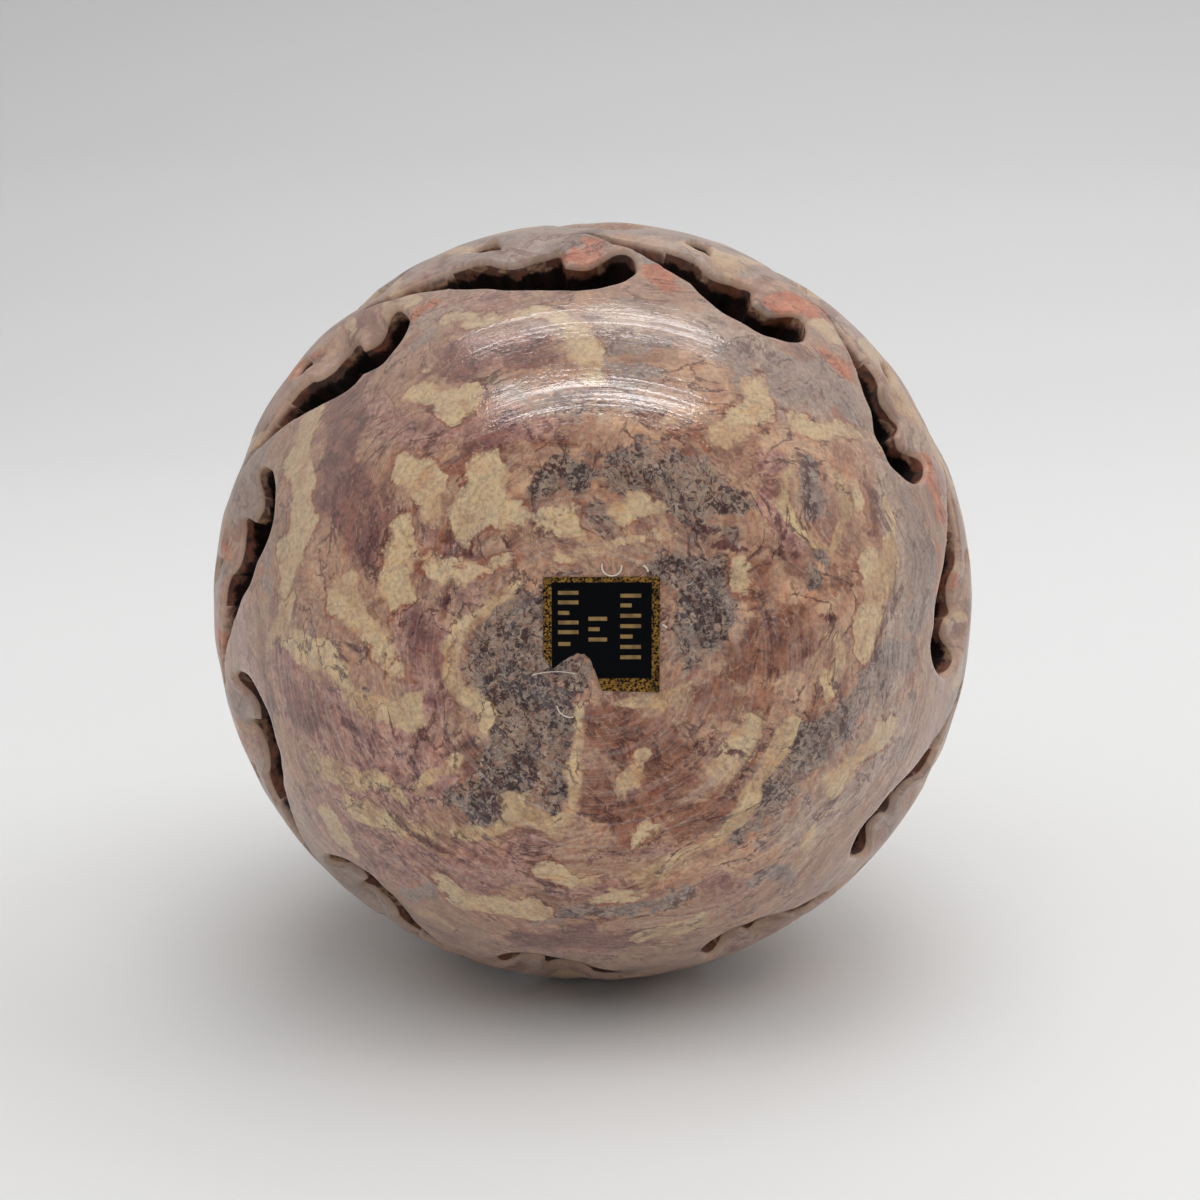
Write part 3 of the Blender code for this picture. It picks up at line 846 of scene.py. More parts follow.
GREY = [
    # round and behind the label
    [(-3.5, 11.5, 1), (-1, 13, 1)],
    [(1, 12.5, 1.5), (6, 12, 2), (9.5, 10.5, 1)],
    [(3, 13.5, 1), (6.5, 13.5, 1)],
    [(0.5, 10, 1), (1, 8, 0.5)],
    [(6, 9.5, 1), (8.5, 9, 0.5)],
    [(5, 6, 1.5), (8, 5.5, 2), (7.5, 3, 2), (6, 0.5, 1)],
    [(-2.5, 4.5, 0.5), (3, 1.5, 1)],
    [(-8, 1.5, 1), (-5, 3.5, 1.5), (-6, 0.5, 2.5), (-4, -4, 3), (-5, -8, 2.5), (-8.5, -9.5, 1.5)],
    [(-3.5, 0, 1.5), (-1, -0.5, 1)],
    [(-3, -7, 1.5), (-3, -10, 1)],
    # upper right and right
    [(0.5, 20.5, 1), (4.5, 21.5, 1)],
    [(0.5, 19, 1), (3.5, 19, 1)],
    [(9.5, 20.5, 1), (10.5, 18, 1)],
    [(13.5, 18.5, 2.5), (17, 17.5, 2.5), (18.5, 15.5, 1)],
    [(14.5, 12, 1), (15.5, 8, 0.75), (14.5, 5.5, 0.75)],
    [(22, 10, 1), (23.5, 5, 2), (22, -1, 1)],
    [(21, 0, 1.5), (17, -4.5, 1.5), (12.5, -8, 2), (11, -11, 1), (9.5, -13, 1)],
    # below and left
    [(6, -16.5, 1), (4.5, -18, 1)],
    [(11.5, -16, 1), (14, -16, 1)],
    [(-4, -19, 1), (-1.5, -18, 1), (3.5, -17.5, 1)],
    [(-13, -18.5, 1), (-11.5, -17.5, 1)],
    [(-15.5, -2.5, 0.5), (-12, -3, 0.5)],
    [(-23.5, 4.5, 1), (-23, 6, 0.75)],
    [(-12.5, 20.5, 0.75), (-11, 22.5, 0.5)],
]
MAUVE = [
    [(-10.5, 15.5, 1.5), (-6.5, 15.5, 1.5), (-2.5, 15.5, 1)],
    [(-8.5, 20, 1.5), (-4, 20.5, 1.5)],
    [(-10.5, 24, 1), (-5, 24, 1)],
    [(-15.5, 17, 1.5), (-12, 14.5, 1)],
    [(-13.5, 9.5, 0.5), (-14, 11, 0.5)],
    [(-12, 8, 1), (-8.5, 7, 1)],
    [(-9, 5, 0.5), (-6.5, 6.5, 0.5)],
    [(-11.5, 3, 1), (-11.5, 1, 2), (-11, -2.5, 1.5)],
    [(-24.5, 5.5, 1.5), (-25.5, 1, 2), (-25, -4, 2.5)],
    [(-22, -1, 1.5), (-20, -4.5, 3), (-14.5, -6, 3), (-11, -8, 2)],
    [(-18.5, -7.5, 1.5), (-19, -13, 2.5), (-15.5, -15.5, 3), (-10, -16, 2.5), (-4.5, -14, 2)],
    [(-16.5, -9.5, 1), (-12, -11, 1)],
    [(-10.5, -13, 0.5), (-6.5, -13, 0.5)],
    [(-2.5, -15.5, 1.5), (1.5, -16.5, 1)],
    [(0, -13, 0.5), (4, -13, 0.5)],
    [(-5.5, -21.5, 1), (0.5, -22, 1.5)],
    [(8.5, -16, 1), (10, -17.5, 1)],
    [(11.5, 13, 1), (11, 10.5, 0.75), (13.5, 8, 0.5)],
]
PLUM = [
    [(-17.5, 17, 2), (-17.5, 12, 2), (-15.5, 8, 2)],
    [(-19, 11.5, 1), (-19, 10, 1)],
    [(-11, 13, 0.5), (-8, 14.5, 1), (-5.5, 15.5, 0.5)],
    [(-9.5, 19.5, 1.5), (-8, 20, 1)],
    [(-5.5, 20, 1), (-3.5, 20.5, 1.5)],
    [(-11.5, 3, 0.5), (-11, 0, 1)],
    [(-8.5, -6, 1), (-8, -8, 1)],
    [(-21.5, -3, 1), (-20, -4.5, 1)],
    [(-5.5, -21.5, 1), (0, -21, 1.5), (3.5, -21, 1)],
]
RUSSET = [
    [(0.5, -4, 1.5), (3, -6, 2), (5.5, -7, 2), (3, -9.5, 2.5), (0.5, -9.5, 1.5)],
    [(5.5, -11.5, 1), (8.5, -9.5, 1)],
    [(7, -3, 1), (9.5, -1, 1.5), (11.5, 1.5, 1.5), (13, 3.5, 1)],
    [(8, -3, 0.75), (11.5, -2.5, 0.75)],
    [(14, 0.5, 0.75), (12, 0, 0.75)],
    [(11, 6, 0.75), (11.5, 2.5, 0.75)],
    [(15, -3, 0.5), (14.5, -4.5, 0.5)],
    [(17, 12, 0.25), (17.5, 8, 0.5), (16, 4.5, 0.5)],
    [(19, 11.5, 0.5), (19, 7.5, 0.5)],
    [(0, 14.5, 0.25), (-7, 14, 0.25)],
    [(3, 16, 0.25), (9.5, 14.5, 0.25)],
    [(-9.5, -6.5, 0.75), (-7, -6, 0.5)],
]
PEACH = [
    [(6.5, 20.5, 2), (8.5, 16.5, 1.5), (11, 14.5, 2), (17.5, 13, 2)],
    [(1.5, 16, 1.5), (5.5, 16, 1)],
    [(11.5, 4, 2), (14.5, 4, 2), (18, 5.5, 2), (19.5, 0.5, 1.5)],
    [(10, 3, 1), (11.5, -2, 1.5), (13.5, -2.5, 1.5)],
    [(22, -4, 1), (20.5, -7, 1.5), (16.5, -11, 2), (15, -14.5, 1)],
    [(4.5, -15.5, 1.5), (8.5, -14, 1.5), (13, -14, 1)],
    [(4.5, -13, 0.75), (7.5, -9.5, 0.75)],
    [(-9, -17, 1), (-4, -17, 1)],
    [(0, 5, 0.5), (-0.5, -4, 0.5)],
    [(-5, 6, 0.5), (-2.5, 7, 0.5)],
    [(-13, 8, 1), (-11.5, 7, 1)],
    [(-7.5, 11.5, 1.5), (-5, 12, 1)],
    [(-20.5, 6, 1.5), (-16.5, 4, 1)],
    [(-21, 16, 1), (-23, 14.5, 1)],
]
PALE = [
    [(-19.5, 20, 1.5), (-11.5, 23.5, 1.5), (-2.5, 22, 1.5), (6, 22, 2)],
    [(8.5, 22, 2.5), (14.5, 17, 3)],
    [(-8, 17, 1), (3, 17, 1)],
    [(19, 17, 2), (21.5, 6, 2), (20, -3.5, 2)],
    [(14.5, -12.5, 2.5), (20.5, -6.5, 3)],
    [(-25, 8, 2), (-26.5, 1, 3), (-25.5, -5, 2)],
]
SALMON = [
    [(-1, 28, 2), (0.5, 27.5, 1)],
    [(4.5, 26.5, 1), (5, 25, 1)],
    [(9.5, 25, 1), (11, 25.5, 1.5)],
    [(-12, 23.5, 0.75), (-14, 22, 0.5)],
    [(17, 20, 1), (18, 19, 1)],
    [(24.5, 12, 1.5), (25.5, 8.5, 1)],
    [(25, 6, 0.5), (24.5, 3.5, 0.5)],
]
DARK_VEINS = [
    [(-13, 10.5, 0.25), (-11, 8.5, 0.25), (-8, 8, 0.25), (-6, 8.5, 0.25), (-2.5, 9, 0.25)],
    [(7, 9, 0.25), (9.5, 7.5, 0.25), (13, 7.5, 0.25)],
    [(19.5, 10, 0.25), (19, 7.5, 0.25)],
    [(11.5, 4, 0.25), (12, 1.5, 0.25), (16, 2.5, 0.25)],
    [(6, -6, 0.25), (10.5, -6, 0.25), (9, -9.5, 0.25)],
    [(4, -12, 0.25), (0, -13.5, 0.25)],
    [(-10, 6, 0.25), (-9.5, 3.5, 0.25)],
    [(-22.5, 0, 0.25), (-21, -3, 0.25), (-16, -5, 0.25)],
    [(-14, -11.5, 0.25), (-10.5, -13.5, 0.25)],
    [(-6.5, -20.5, 0.25), (-3.5, -22, 0.25)],
]


def on_end(across, up):
    """The place on the fat end that lies so far across and up, seen along the axis."""
    out = min(math.hypot(across, up) / RADIUS, 0.999)
    return place(math.degrees(math.atan2(up, across)), math.degrees(math.asin(out)), 0.0)


def inside_patch(points, patches):
    """How far inside the nearest patch each point lies, mm; negative outside."""
    best = np.full(len(points), -6.0)
    for patch in patches:
        spots = np.array([on_end(across, up) for across, up, _ in patch])
        widths = [w for _, _, w in patch]
        for a, b, wa, wb in zip(spots, spots[1:], widths, widths[1:]):
            along = b - a
            u = np.clip((points - a) @ along / (along @ along + 1e-9), 0.0, 1.0)
            off = np.linalg.norm(points - a - u[:, None] * along, axis=1)
            best = np.maximum(best, wa + (wb - wa) * u - off)
    return best


def places_on(mesh):
    """Azimuth and polar angle of each vertex, and its place on the plain egg in mm."""
    flat = np.empty(len(mesh.vertices) * 3)
    mesh.vertices.foreach_get("co", flat)
    points = flat.reshape(-1, 3) * 1000.0 - np.array(SHIFT)
    az = np.degrees(np.arctan2(points[:, 2], points[:, 0]))
    semi = np.where(points[:, 1] < 0.0, FAT_SEMI, TIP_SEMI)
    out = np.hypot(points[:, 0], points[:, 2])
    on_base = points[:, 1] < -BASE_Y + 0.3
    polar = np.degrees(np.arctan2(out / RADIUS, -points[:, 1] / semi))
    polar = np.where(on_base, np.degrees(np.arcsin(np.clip(out / RADIUS, 0.0, 1.0))), polar)
    return az, polar, place(az, polar, 0.0)


def sway(skin, size, first):
    """Three ripples of one size, one for each direction, from three seeds in a row."""
    return np.stack([ripple(skin, size, seed) for seed in range(first, first + 3)], axis=1)


def lay_colours(mesh, polar, skin):
    """Lays out the stone's colours over the mesh: how far inside its patches each place is."""
    bent = skin + (sway(skin, 4.2, 41) * 0.45 + sway(skin, 1.5, 44) * 0.22)
    # beyond what is laid out, the same colours run on in folded bands
    away = ease((polar - 58.0) / 9.0)
    fold = sway(skin, 26.0, 51) * 7.0 + sway(skin, 9.0, 54) * 1.8
    folded = (skin + fold) * np.array([1.0, 0.8, 1.25])

    def banded(patches, seed, size, share):
        laid_out = np.clip(inside_patch(bent, patches), -4.0, 4.0)
        runs = 2.6 * (ripple(folded, size, seed) - share)
        return laid_out * (1.0 - away) + np.clip(runs, -4.0, 4.0) * away

    salmon_runs = banded([], 69, 8.0, 0.95) - 4.0 * (1.0 - away)
    fields = {
        "cream": banded(CREAM, 61, 9.0, 0.8),
        "cream_lines": banded(CREAM_LINES, 68, 5.0, 1.0),
        "pale": banded(PALE, 70, 11.0, 0.1),
        "salmon": np.maximum(inside_patch(bent, SALMON), salmon_runs),
        "grey": banded(GREY, 62, 12.0, 0.12),
        "mauve": banded(MAUVE, 63, 10.0, 0.45),
        "plum": banded(PLUM, 67, 8.0, 0.85),
        "russet": banded(RUSSET, 64, 7.0, 0.75),
        "peach": banded(PEACH, 65, 12.0, 0.5),
        "vein": banded(DARK_VEINS, 66, 6.0, 1.2),
    }
    for name, values in fields.items():
        layer = mesh.attributes.new(name, "FLOAT", "POINT")
        layer.data.foreach_set("value", values.astype(np.float32))


def lay_courses(mesh, az, polar, skin):
    """The stone's layers run round the axis in folds; lathe marks run round it truly."""
    turned = np.radians(az)
    down = RADIUS * np.radians(polar)
    lathe = np.stack([down, 9.0 * np.cos(turned), 9.0 * np.sin(turned)], axis=1)
    wide = 9.0 + 9.0 * ease((polar - 36.0) / 36.0)
    folds = np.stack([down, wide * np.cos(turned), wide * np.sin(turned)], axis=1)
    folds += sway(skin, 13.0, 71) * 2.4
    folds += sway(skin, 5.0, 74) * 0.7
    for name, values in (("lathe", lathe), ("folds", folds)):
        layer = mesh.attributes.new(name, "FLOAT_VECTOR", "POINT")
        layer.data.foreach_set("vector", values.astype(np.float32).ravel())


class Recipe:
    """A material's nodes, laid down one after another."""

    def __init__(self, name, colour):
        self.material = bpy.data.materials.new(name)
        self.material.use_nodes = True
        self.material.diffuse_color = (*colour, 1.0)
        self.tree = self.material.node_tree
        self.shader = self.tree.nodes["Principled BSDF"]
        place_node = self.tree.nodes.new("ShaderNodeTexCoord")
        scale = self.tree.nodes.new("ShaderNodeMapping")
        scale.inputs["Scale"].default_value = (1000.0, 1000.0, 1000.0)
        self.tree.links.new(place_node.outputs["Object"], scale.inputs["Vector"])
        self.mm = scale.outputs["Vector"]

    def link(self, source, socket):
        """Feeds a socket from another node, or sets it to a fixed value."""
        if hasattr(source, "links"):
            self.tree.links.new(source, socket)
        else:
            socket.default_value = source

    def attribute(self, name, vector=False):
        """A value or a place that the mesh carries."""
        node = self.tree.nodes.new("ShaderNodeAttribute")
        node.attribute_name = name
        return node.outputs["Vector" if vector else "Fac"]

    def sum(self, kind, a, b=0.0, c=0.0):
        """One step of arithmetic."""
        node = self.tree.nodes.new("ShaderNodeMath")
        node.operation = kind
        for value, socket in zip((a, b, c), node.inputs):
            self.link(value, socket)
        return node.outputs[0]

    def noise(self, size, detail=3.0, rough=0.55, at=None, warp=0.0):
        """Cloudy noise, 0 to 1 about 0.5, of a size in mm."""
        node = self.tree.nodes.new("ShaderNodeTexNoise")
        node.inputs["Scale"].default_value = 1.0 / size
        node.inputs["Detail"].default_value = detail
        node.inputs["Roughness"].default_value = rough
        node.inputs["Distortion"].default_value = warp
        self.link(at or self.mm, node.inputs["Vector"])
        return node.outputs["Fac"]

    def cell_edge(self, size, at):
        """Distance, mm, to the nearest edge of a network of cells of a size in mm."""
        node = self.tree.nodes.new("ShaderNodeTexVoronoi")
        node.feature = "DISTANCE_TO_EDGE"
        node.inputs["Scale"].default_value = 1.0 / size
        self.link(at, node.inputs["Vector"])
        return self.sum("MULTIPLY", node.outputs["Distance"], size)

    def shaken(self, at, size, reach, detail=4.0):
        """A place in mm pushed about by a cloudy noise."""
        noise = self.tree.nodes.new("ShaderNodeTexNoise")
        noise.inputs["Scale"].default_value = 1.0 / size
        noise.inputs["Detail"].default_value = detail
        noise.inputs["Roughness"].default_value = 0.62
        self.link(at, noise.inputs["Vector"])
        node = self.tree.nodes.new("ShaderNodeVectorMath")
        node.operation = "MULTIPLY_ADD"
        self.link(noise.outputs["Color"], node.inputs[0])
        node.inputs[1].default_value = (reach, reach, reach)
        self.link(at, node.inputs[2])
        return node.outputs[0]

    def moved(self, steps, at=None):
        """A place in mm, moved by a fixed step so that two noises differ."""
        node = self.tree.nodes.new("ShaderNodeVectorMath")
        node.operation = "ADD"
        self.link(at or self.mm, node.inputs[0])
        node.inputs[1].default_value = steps
        return node.outputs[0]

    def stretched(self, at, scale):
        """A place scaled by a different amount each way."""
        node = self.tree.nodes.new("ShaderNodeVectorMath")
        node.operation = "MULTIPLY"
        self.link(at, node.inputs[0])
        node.inputs[1].default_value = scale
        return node.outputs[0]

    def ramp(self, value, stops):
        """A run of colours along a value: (place, colour) pairs."""
        node = self.tree.nodes.new("ShaderNodeValToRGB")
        steps = node.color_ramp.elements
        while len(steps) < len(stops):
            steps.new(0.5)
        for step, (at, colour) in zip(steps, stops):
            step.position = at
            step.color = (*colour, 1.0)
        self.link(value, node.inputs[0])
        return node.outputs[0]

    def band(self, value, low, high, to_low=0.0, to_high=1.0):
        """A value eased from low to high."""
        node = self.tree.nodes.new("ShaderNodeMapRange")
        node.interpolation_type = "SMOOTHSTEP"
        self.link(value, node.inputs["Value"])
        self.link(low, node.inputs["From Min"])
        self.link(high, node.inputs["From Max"])
        node.inputs["To Min"].default_value = to_low
        node.inputs["To Max"].default_value = to_high
        return node.outputs["Result"]

    def mix(self, share, a, b, way="MIX"):
        """Colour b laid over colour a by a share."""
        node = self.tree.nodes.new("ShaderNodeMix")
        node.data_type = "RGBA"
        node.blend_type = way
        self.link(share, node.inputs[0])
        for colour, socket in ((a, node.inputs[6]), (b, node.inputs[7])):
            if hasattr(colour, "links"):
                self.tree.links.new(colour, socket)
            else:
                socket.default_value = (*colour, 1.0)
        return node.outputs[2]

    def bump(self, height, strength, distance, normal=None):
        """Fine relief of the surface."""
        node = self.tree.nodes.new("ShaderNodeBump")
        node.inputs["Strength"].default_value = strength
        node.inputs["Distance"].default_value = distance
        self.link(height, node.inputs["Height"])
        if normal:
            self.link(normal, node.inputs["Normal"])
        return node.outputs["Normal"]


def tint(red, green, blue):
    """A screen colour of 0 to 255 as the linear colour a shader takes."""
    out = []
    for value in (red, green, blue):
        v = value / 255.0
        out.append(v / 12.92 if v <= 0.04045 else ((v + 0.055) / 1.055) ** 2.4)
    return tuple(out)


# the stone's colours, laid over one another: their field, the noise that their tones run
# along, how soft their borders are and how far the noises push them about, and the tones
COATS = [
    ("peach", "blotch", 0.9, 3.0, 1.6, [(0.36, (178, 134, 112)), (0.46, (200, 164, 138)),
                                        (0.54, (206, 176, 148)), (0.64, (192, 150, 126))]),
    ("pale", "blotch", 0.9, 2.6, 2.0, [(0.38, (166, 149, 139)), (0.50, (191, 174, 160)),
                                       (0.62, (178, 158, 146))]),
    ("mauve", "fray", 0.35, 2.2, 1.8, [(0.34, (126, 86, 84)), (0.42, (156, 117, 111)),
                                       (0.50, (174, 137, 128)), (0.58, (194, 160, 145)),
                                       (0.66, (146, 106, 101))]),
    ("plum", "fray", 0.35, 1.2, 1.4, [(0.34, (102, 66, 66)), (0.46, (128, 91, 88)),
                                      (0.56, (142, 105, 99)), (0.68, (118, 80, 78))]),
    ("russet", "fray", 0.4, 1.4, 1.6, [(0.36, (104, 64, 52)), (0.46, (132, 92, 76)),
                                       (0.55, (152, 114, 96)), (0.66, (124, 80, 66))]),
    ("salmon", "fray", 0.4, 0.6, 1.0, [(0.38, (188, 110, 86)), (0.62, (206, 142, 114))]),
    ("grey", "fray", 0.22, 1.0, 1.5, [(0.34, (120, 105, 97)), (0.46, (141, 126, 115)),
                                      (0.56, (156, 141, 129)), (0.66, (174, 159, 145))]),
    ("cream", "blotch", 0.22, 0.7, 1.0, [(0.36, (192, 162, 130)), (0.46, (206, 182, 147)),
                                         (0.56, (212, 192, 156)), (0.66, (200, 172, 140))]),
    ("cream_lines", "blotch", 0.14, 0.0, 0.4, [(0.38, (194, 166, 131)), (0.60, (212, 191, 154))]),
]


def stone_noises(r):
    """The noises that the stone's colours are worked out from."""
    folds = r.attribute("folds", True)
    return {
        "layers": r.noise(3.4, 2.0, 0.5, folds, 0.7),
        "thin": r.noise(1.6, 3.0, 0.6, r.moved((31.0, 7.0, 3.0), folds), 0.8),
        "blotch": r.noise(2.6, 3.0, 0.5, r.moved((31.0, 7.0, 3.0)), 0.5),
        "fray": r.noise(1.05, 5.0, 0.64, r.moved((5.0, 40.0, 9.0)), 0.3),
        "crack": r.cell_edge(2.6, r.shaken(folds, 2.6, 4.4)),
        "fissure": r.cell_edge(1.4, r.shaken(r.mm, 1.6, 1.8)),
        "speck": r.noise(0.5, 4.0, 0.72, r.moved((9.0, 3.0, 80.0)), 1.0),
        "grain": r.noise(0.3, 2.0, 0.6),
    }


def seam(r, value, middle, width):
    """A thin line along which a value passes its middle."""
    off = r.sum("ABSOLUTE", r.sum("SUBTRACT", value, middle))
    return r.band(off, width, 0.25 * width)


def speckled(r, n, down, tone):
    """Grey tone with crowded dark specks; towards the ring of bays the tone pales and the specks grow
    paler and fewer, partly the stone's own fading and partly painted light for the brighter sides.
    """
    crowd = r.sum("MULTIPLY_ADD", n["blotch"], 0.24, r.sum("SUBTRACT", n["speck"], 0.12))
    # paling towards the ring of bays: partly painted light where the sides take more light
    tone = r.mix(r.band(down, 11.0, 24.0, 0.0, 0.8), tone, tint(164, 155, 149))
    specks = r.mix(r.band(down, 11.0, 26.0), tint(50, 36, 40), tint(112, 102, 103))
    thick = r.band(down, 12.0, 24.0, 0.92, 0.45)
    return r.mix(r.sum("MULTIPLY", r.band(crowd, 0.485, 0.565), thick), tone, specks)


def haloed(r, n, border, colour):
    """A warm halo in the stone round the cream patches."""
    halo = r.ramp(n["fray"], [(0.38, tint(182, 138, 114)), (0.52, tint(200, 164, 136)),
                              (0.64, tint(186, 148, 126))])
    near = r.sum("MULTIPLY", r.band(border, -0.9, 0.1, 0.0, 0.75), r.band(n["blotch"], 0.46, 0.56))
    return r.mix(near, colour, halo)


def stone_coats(r, n, down):
    """Ground of beige and mauve-brown layers with the coats over it, and each coat's border."""
    colour = r.ramp(n["layers"], [(0.36, tint(148, 114, 101)), (0.43, tint(174, 142, 122)),
                                  (0.49, tint(188, 160, 136)), (0.54, tint(166, 131, 114)),
                                  (0.60, tint(186, 155, 132)), (0.66, tint(156, 120, 106))])
    borders = {}
    for field, along, soft, wide_push, fine_push, tones in COATS:
        border = r.attribute(field)
        for noise, reach in (("blotch", wide_push), ("fray", fine_push)):
            border = r.sum("ADD", border, r.sum("MULTIPLY_ADD", n[noise], 2.0 * reach, -reach))
        borders[field] = border
        tone = r.ramp(n[along], [(at, tint(*shade)) for at, shade in tones])
        if field == "grey":
            tone = speckled(r, n, down, tone)
        if field == "cream":
            colour = haloed(r, n, border, colour)
            soft = r.band(n["thin"], 0.46, 0.62, 0.10, 0.42)
        colour = r.mix(r.band(border, r.sum("MULTIPLY", soft, -1.0), soft), colour, tone)
    return colour, borders


def stone_seams(r, n, colour, borders):
    """Small clouds over all but the cream, then thin seams, veins, cracks and specks."""
    bare = r.band(borders["cream"], 0.5, -0.3, 0.25, 1.0)
    clouds = r.sum("MULTIPLY", r.band(n["thin"], 0.60, 0.36, 0.0, 0.36), bare)
    colour = r.mix(clouds, colour, tint(130, 84, 74), "MULTIPLY")
    colour = r.mix(r.band(n["thin"], 0.50, 0.68, 0.0, 0.5), colour, tint(206, 178, 152), "SOFT_LIGHT")
    broken = r.band(n["blotch"], 0.44, 0.56)
    rest = r.band(n["blotch"], 0.54, 0.44)
    red = r.sum("MULTIPLY", seam(r, borders["cream"], -0.16, 0.26), broken)
    colour = r.mix(r.sum("MULTIPLY", red, 0.7), colour, tint(134, 78, 62))
    dark = r.sum("MULTIPLY", seam(r, borders["mauve"], -0.1, 0.22), rest)
    colour = r.mix(r.sum("MULTIPLY", dark, 0.55), colour, tint(92, 56, 56))
    veined = r.sum("ADD", r.attribute("vein"), r.sum("MULTIPLY_ADD", n["fray"], 1.6, -0.8))
    veined = r.band(veined, -0.5, 0.15)
    mottled = r.sum("MULTIPLY", r.sum("MULTIPLY", veined, r.band(n["fray"], 0.46, 0.54)), 0.9)
    colour = r.mix(mottled, colour, tint(92, 54, 54))
    cracked = r.sum("MULTIPLY", r.sum("MAXIMUM", r.sum("MULTIPLY", broken, 0.8), veined), bare)
    wide = r.band(n["speck"], 0.36, 0.62, 0.04, 0.30)
    lines = r.sum("MULTIPLY", r.band(n["crack"], wide, 0.02), cracked)
    colour = r.mix(r.sum("MULTIPLY", lines, 0.95), colour, tint(70, 42, 44))
    lines = r.sum("MULTIPLY", r.band(n["fissure"], 0.14, 0.02), r.sum("MULTIPLY", rest, bare))
    colour = r.mix(r.sum("MULTIPLY", lines, 0.3), colour, tint(140, 84, 68))
    pale = r.sum("MULTIPLY", seam(r, n["thin"], 0.46, 0.03), rest)
    colour = r.mix(r.sum("MULTIPLY", pale, 0.3), colour, tint(204, 178, 146))
    dots = r.band(n["speck"], 0.655, 0.70)
    colour = r.mix(r.sum("MULTIPLY", dots, 0.5), colour, tint(92, 62, 58))
    colour = r.mix(r.band(n["grain"], 0.54, 0.36, 0.0, 0.20), colour, tint(112, 82, 78), "MULTIPLY")
    return r.mix(r.band(n["grain"], 0.44, 0.62, 0.0, 0.36), colour, tint(236, 214, 190), "SOFT_LIGHT")


def cut_stone(r, n, colour, cut):
    """Cut stone inside the openings is browner, and painted shade makes it near-black further in; worn
    edges are pale, partly real wear and partly a painted highlight.
    """
    cut_tone = r.ramp(n["blotch"], [(0.38, tint(62, 36, 30)), (0.46, tint(132, 74, 48)),
                                    (0.52, tint(96, 62, 50)), (0.58, tint(190, 150, 116)),
                                    (0.64, tint(112, 84, 72))])
    colour = r.mix(r.sum("MULTIPLY", cut, 0.85), colour, cut_tone)
    # painted shade inside the openings: a ragged near-black laid over the walls, tails and lining
    shade = r.attribute("shade")
    ragged = r.sum("MULTIPLY_ADD", n["fray"], 1.6, r.sum("SUBTRACT", shade, 0.8))
    painted_shade = r.sum("MULTIPLY", r.band(ragged, 0.35, 0.75), r.band(shade, 0.04, 0.35))
    colour = r.mix(painted_shade, colour, r.mix(r.band(n["thin"], 0.44, 0.58), tint(14, 9, 8), tint(36, 20, 15)))
    # pale rims: real wear and a painted highlight along every cut edge
    wear_and_edge_highlight = r.attribute("wear_and_edge_highlight")
    return r.mix(r.sum("MULTIPLY", r.band(wear_and_edge_highlight, 0.7, 1.0), 0.5), colour, tint(216, 184, 158))


def polish(r, n, lathe, down, cut):
    """Polish with lathe marks round the axis; the carved part is duller."""
    plain = r.band(down, 33.0, 28.0)
    turning = r.noise(1.0, 3.0, 0.7, r.stretched(lathe, (4.6, 0.2, 0.2)))
    rough = r.sum("MULTIPLY_ADD", plain, -0.24, 0.34)
    rough = r.sum("ADD", rough, r.sum("MULTIPLY", cut, 0.3))
    r.link(rough, r.shader.inputs["Roughness"])
    glints = r.sum("MULTIPLY", r.band(turning, 0.49, 0.60), plain)
    r.link(r.sum("MULTIPLY_ADD", glints, 0.75, 0.22), r.shader.inputs["Specular IOR Level"])
    normal = r.bump(r.sum("MULTIPLY", turning, plain), 0.03, 0.0004)
    normal = r.bump(n["grain"], 0.10, 0.0002, normal)
    normal = r.bump(r.sum("MULTIPLY", n["fray"], cut), 0.6, 0.0003, normal)
    r.link(normal, r.shader.inputs["Normal"])


def soapstone():
    """Banded soapstone: folded cream, mauve, peach and speckled grey, polished outside."""
    r = Recipe("banded_soapstone", tint(150, 120, 104))
    n = stone_noises(r)
    lathe = r.attribute("lathe", True)
    split = r.tree.nodes.new("ShaderNodeSeparateXYZ")
    r.link(lathe, split.inputs[0])
    down = split.outputs[0]
    colour, borders = stone_coats(r, n, down)
    colour = stone_seams(r, n, colour, borders)
    # painted light: the stone is paled towards the sides of the fat end, where more light falls; salmon
    # is partly spared
    spared = r.band(r.attribute("salmon"), 0.4, -0.8, 0.5, 1.0)
    painted_side_light = r.sum("MULTIPLY", r.band(down, 14.0, 34.0, 0.0, 0.42), spared)
    colour = r.mix(painted_side_light, colour, tint(188, 171, 160))
    cut = r.band(r.attribute("sunk"), 0.25, 0.8)
    colour = cut_stone(r, n, colour, cut)
    colour = r.mix(1.0, colour, (1.0, 0.955, 0.95), "MULTIPLY")
    r.link(colour, r.shader.inputs["Base Color"])
    polish(r, n, lathe, down, cut)
    return r.material


# ---- the paper label ----
# its torn corner, from the lower edge round to the left edge
TORN = [(0.42, -1.9), (0.3, -1.55), (0.2, -1.25), (0.04, -0.82), (-0.1, -0.42), (-0.2, -0.3),
        (-0.26, 0.02), (-0.42, 0.3), (-0.58, 0.42), (-0.8, 0.62), (-1.05, 0.6), (-1.24, 0.68),
        (-1.5, 0.5), (-1.78, 0.42), (-2.05, 0.22), (-2.3, 0.1), (-2.6, -0.2), (-2.86, -0.38),
        (-3.05, -0.1), (-3.25, 0.12), (-3.52, 0.42)]
# each column of gilt bars: its left and right sides, and its bars' heights and lengths
BARS = [
    (-2.52, -1.16, [(4.75, 1.0), (4.1, 1.0), (3.4, 0.55), (2.75, 1.0), (2.1, 1.0), (1.3, 0.6)]),
    (-0.5, 0.74, [(3.0, 1.0), (2.3, 0.6), (1.6, 1.0)]),
    (1.62, 3.0, [(4.55, 1.0), (3.9, 0.55), (3.2, 1.0), (2.5, 1.0), (1.8, 0.6), (1.1, 1.0),
                 (0.4, 1.0)]),
]
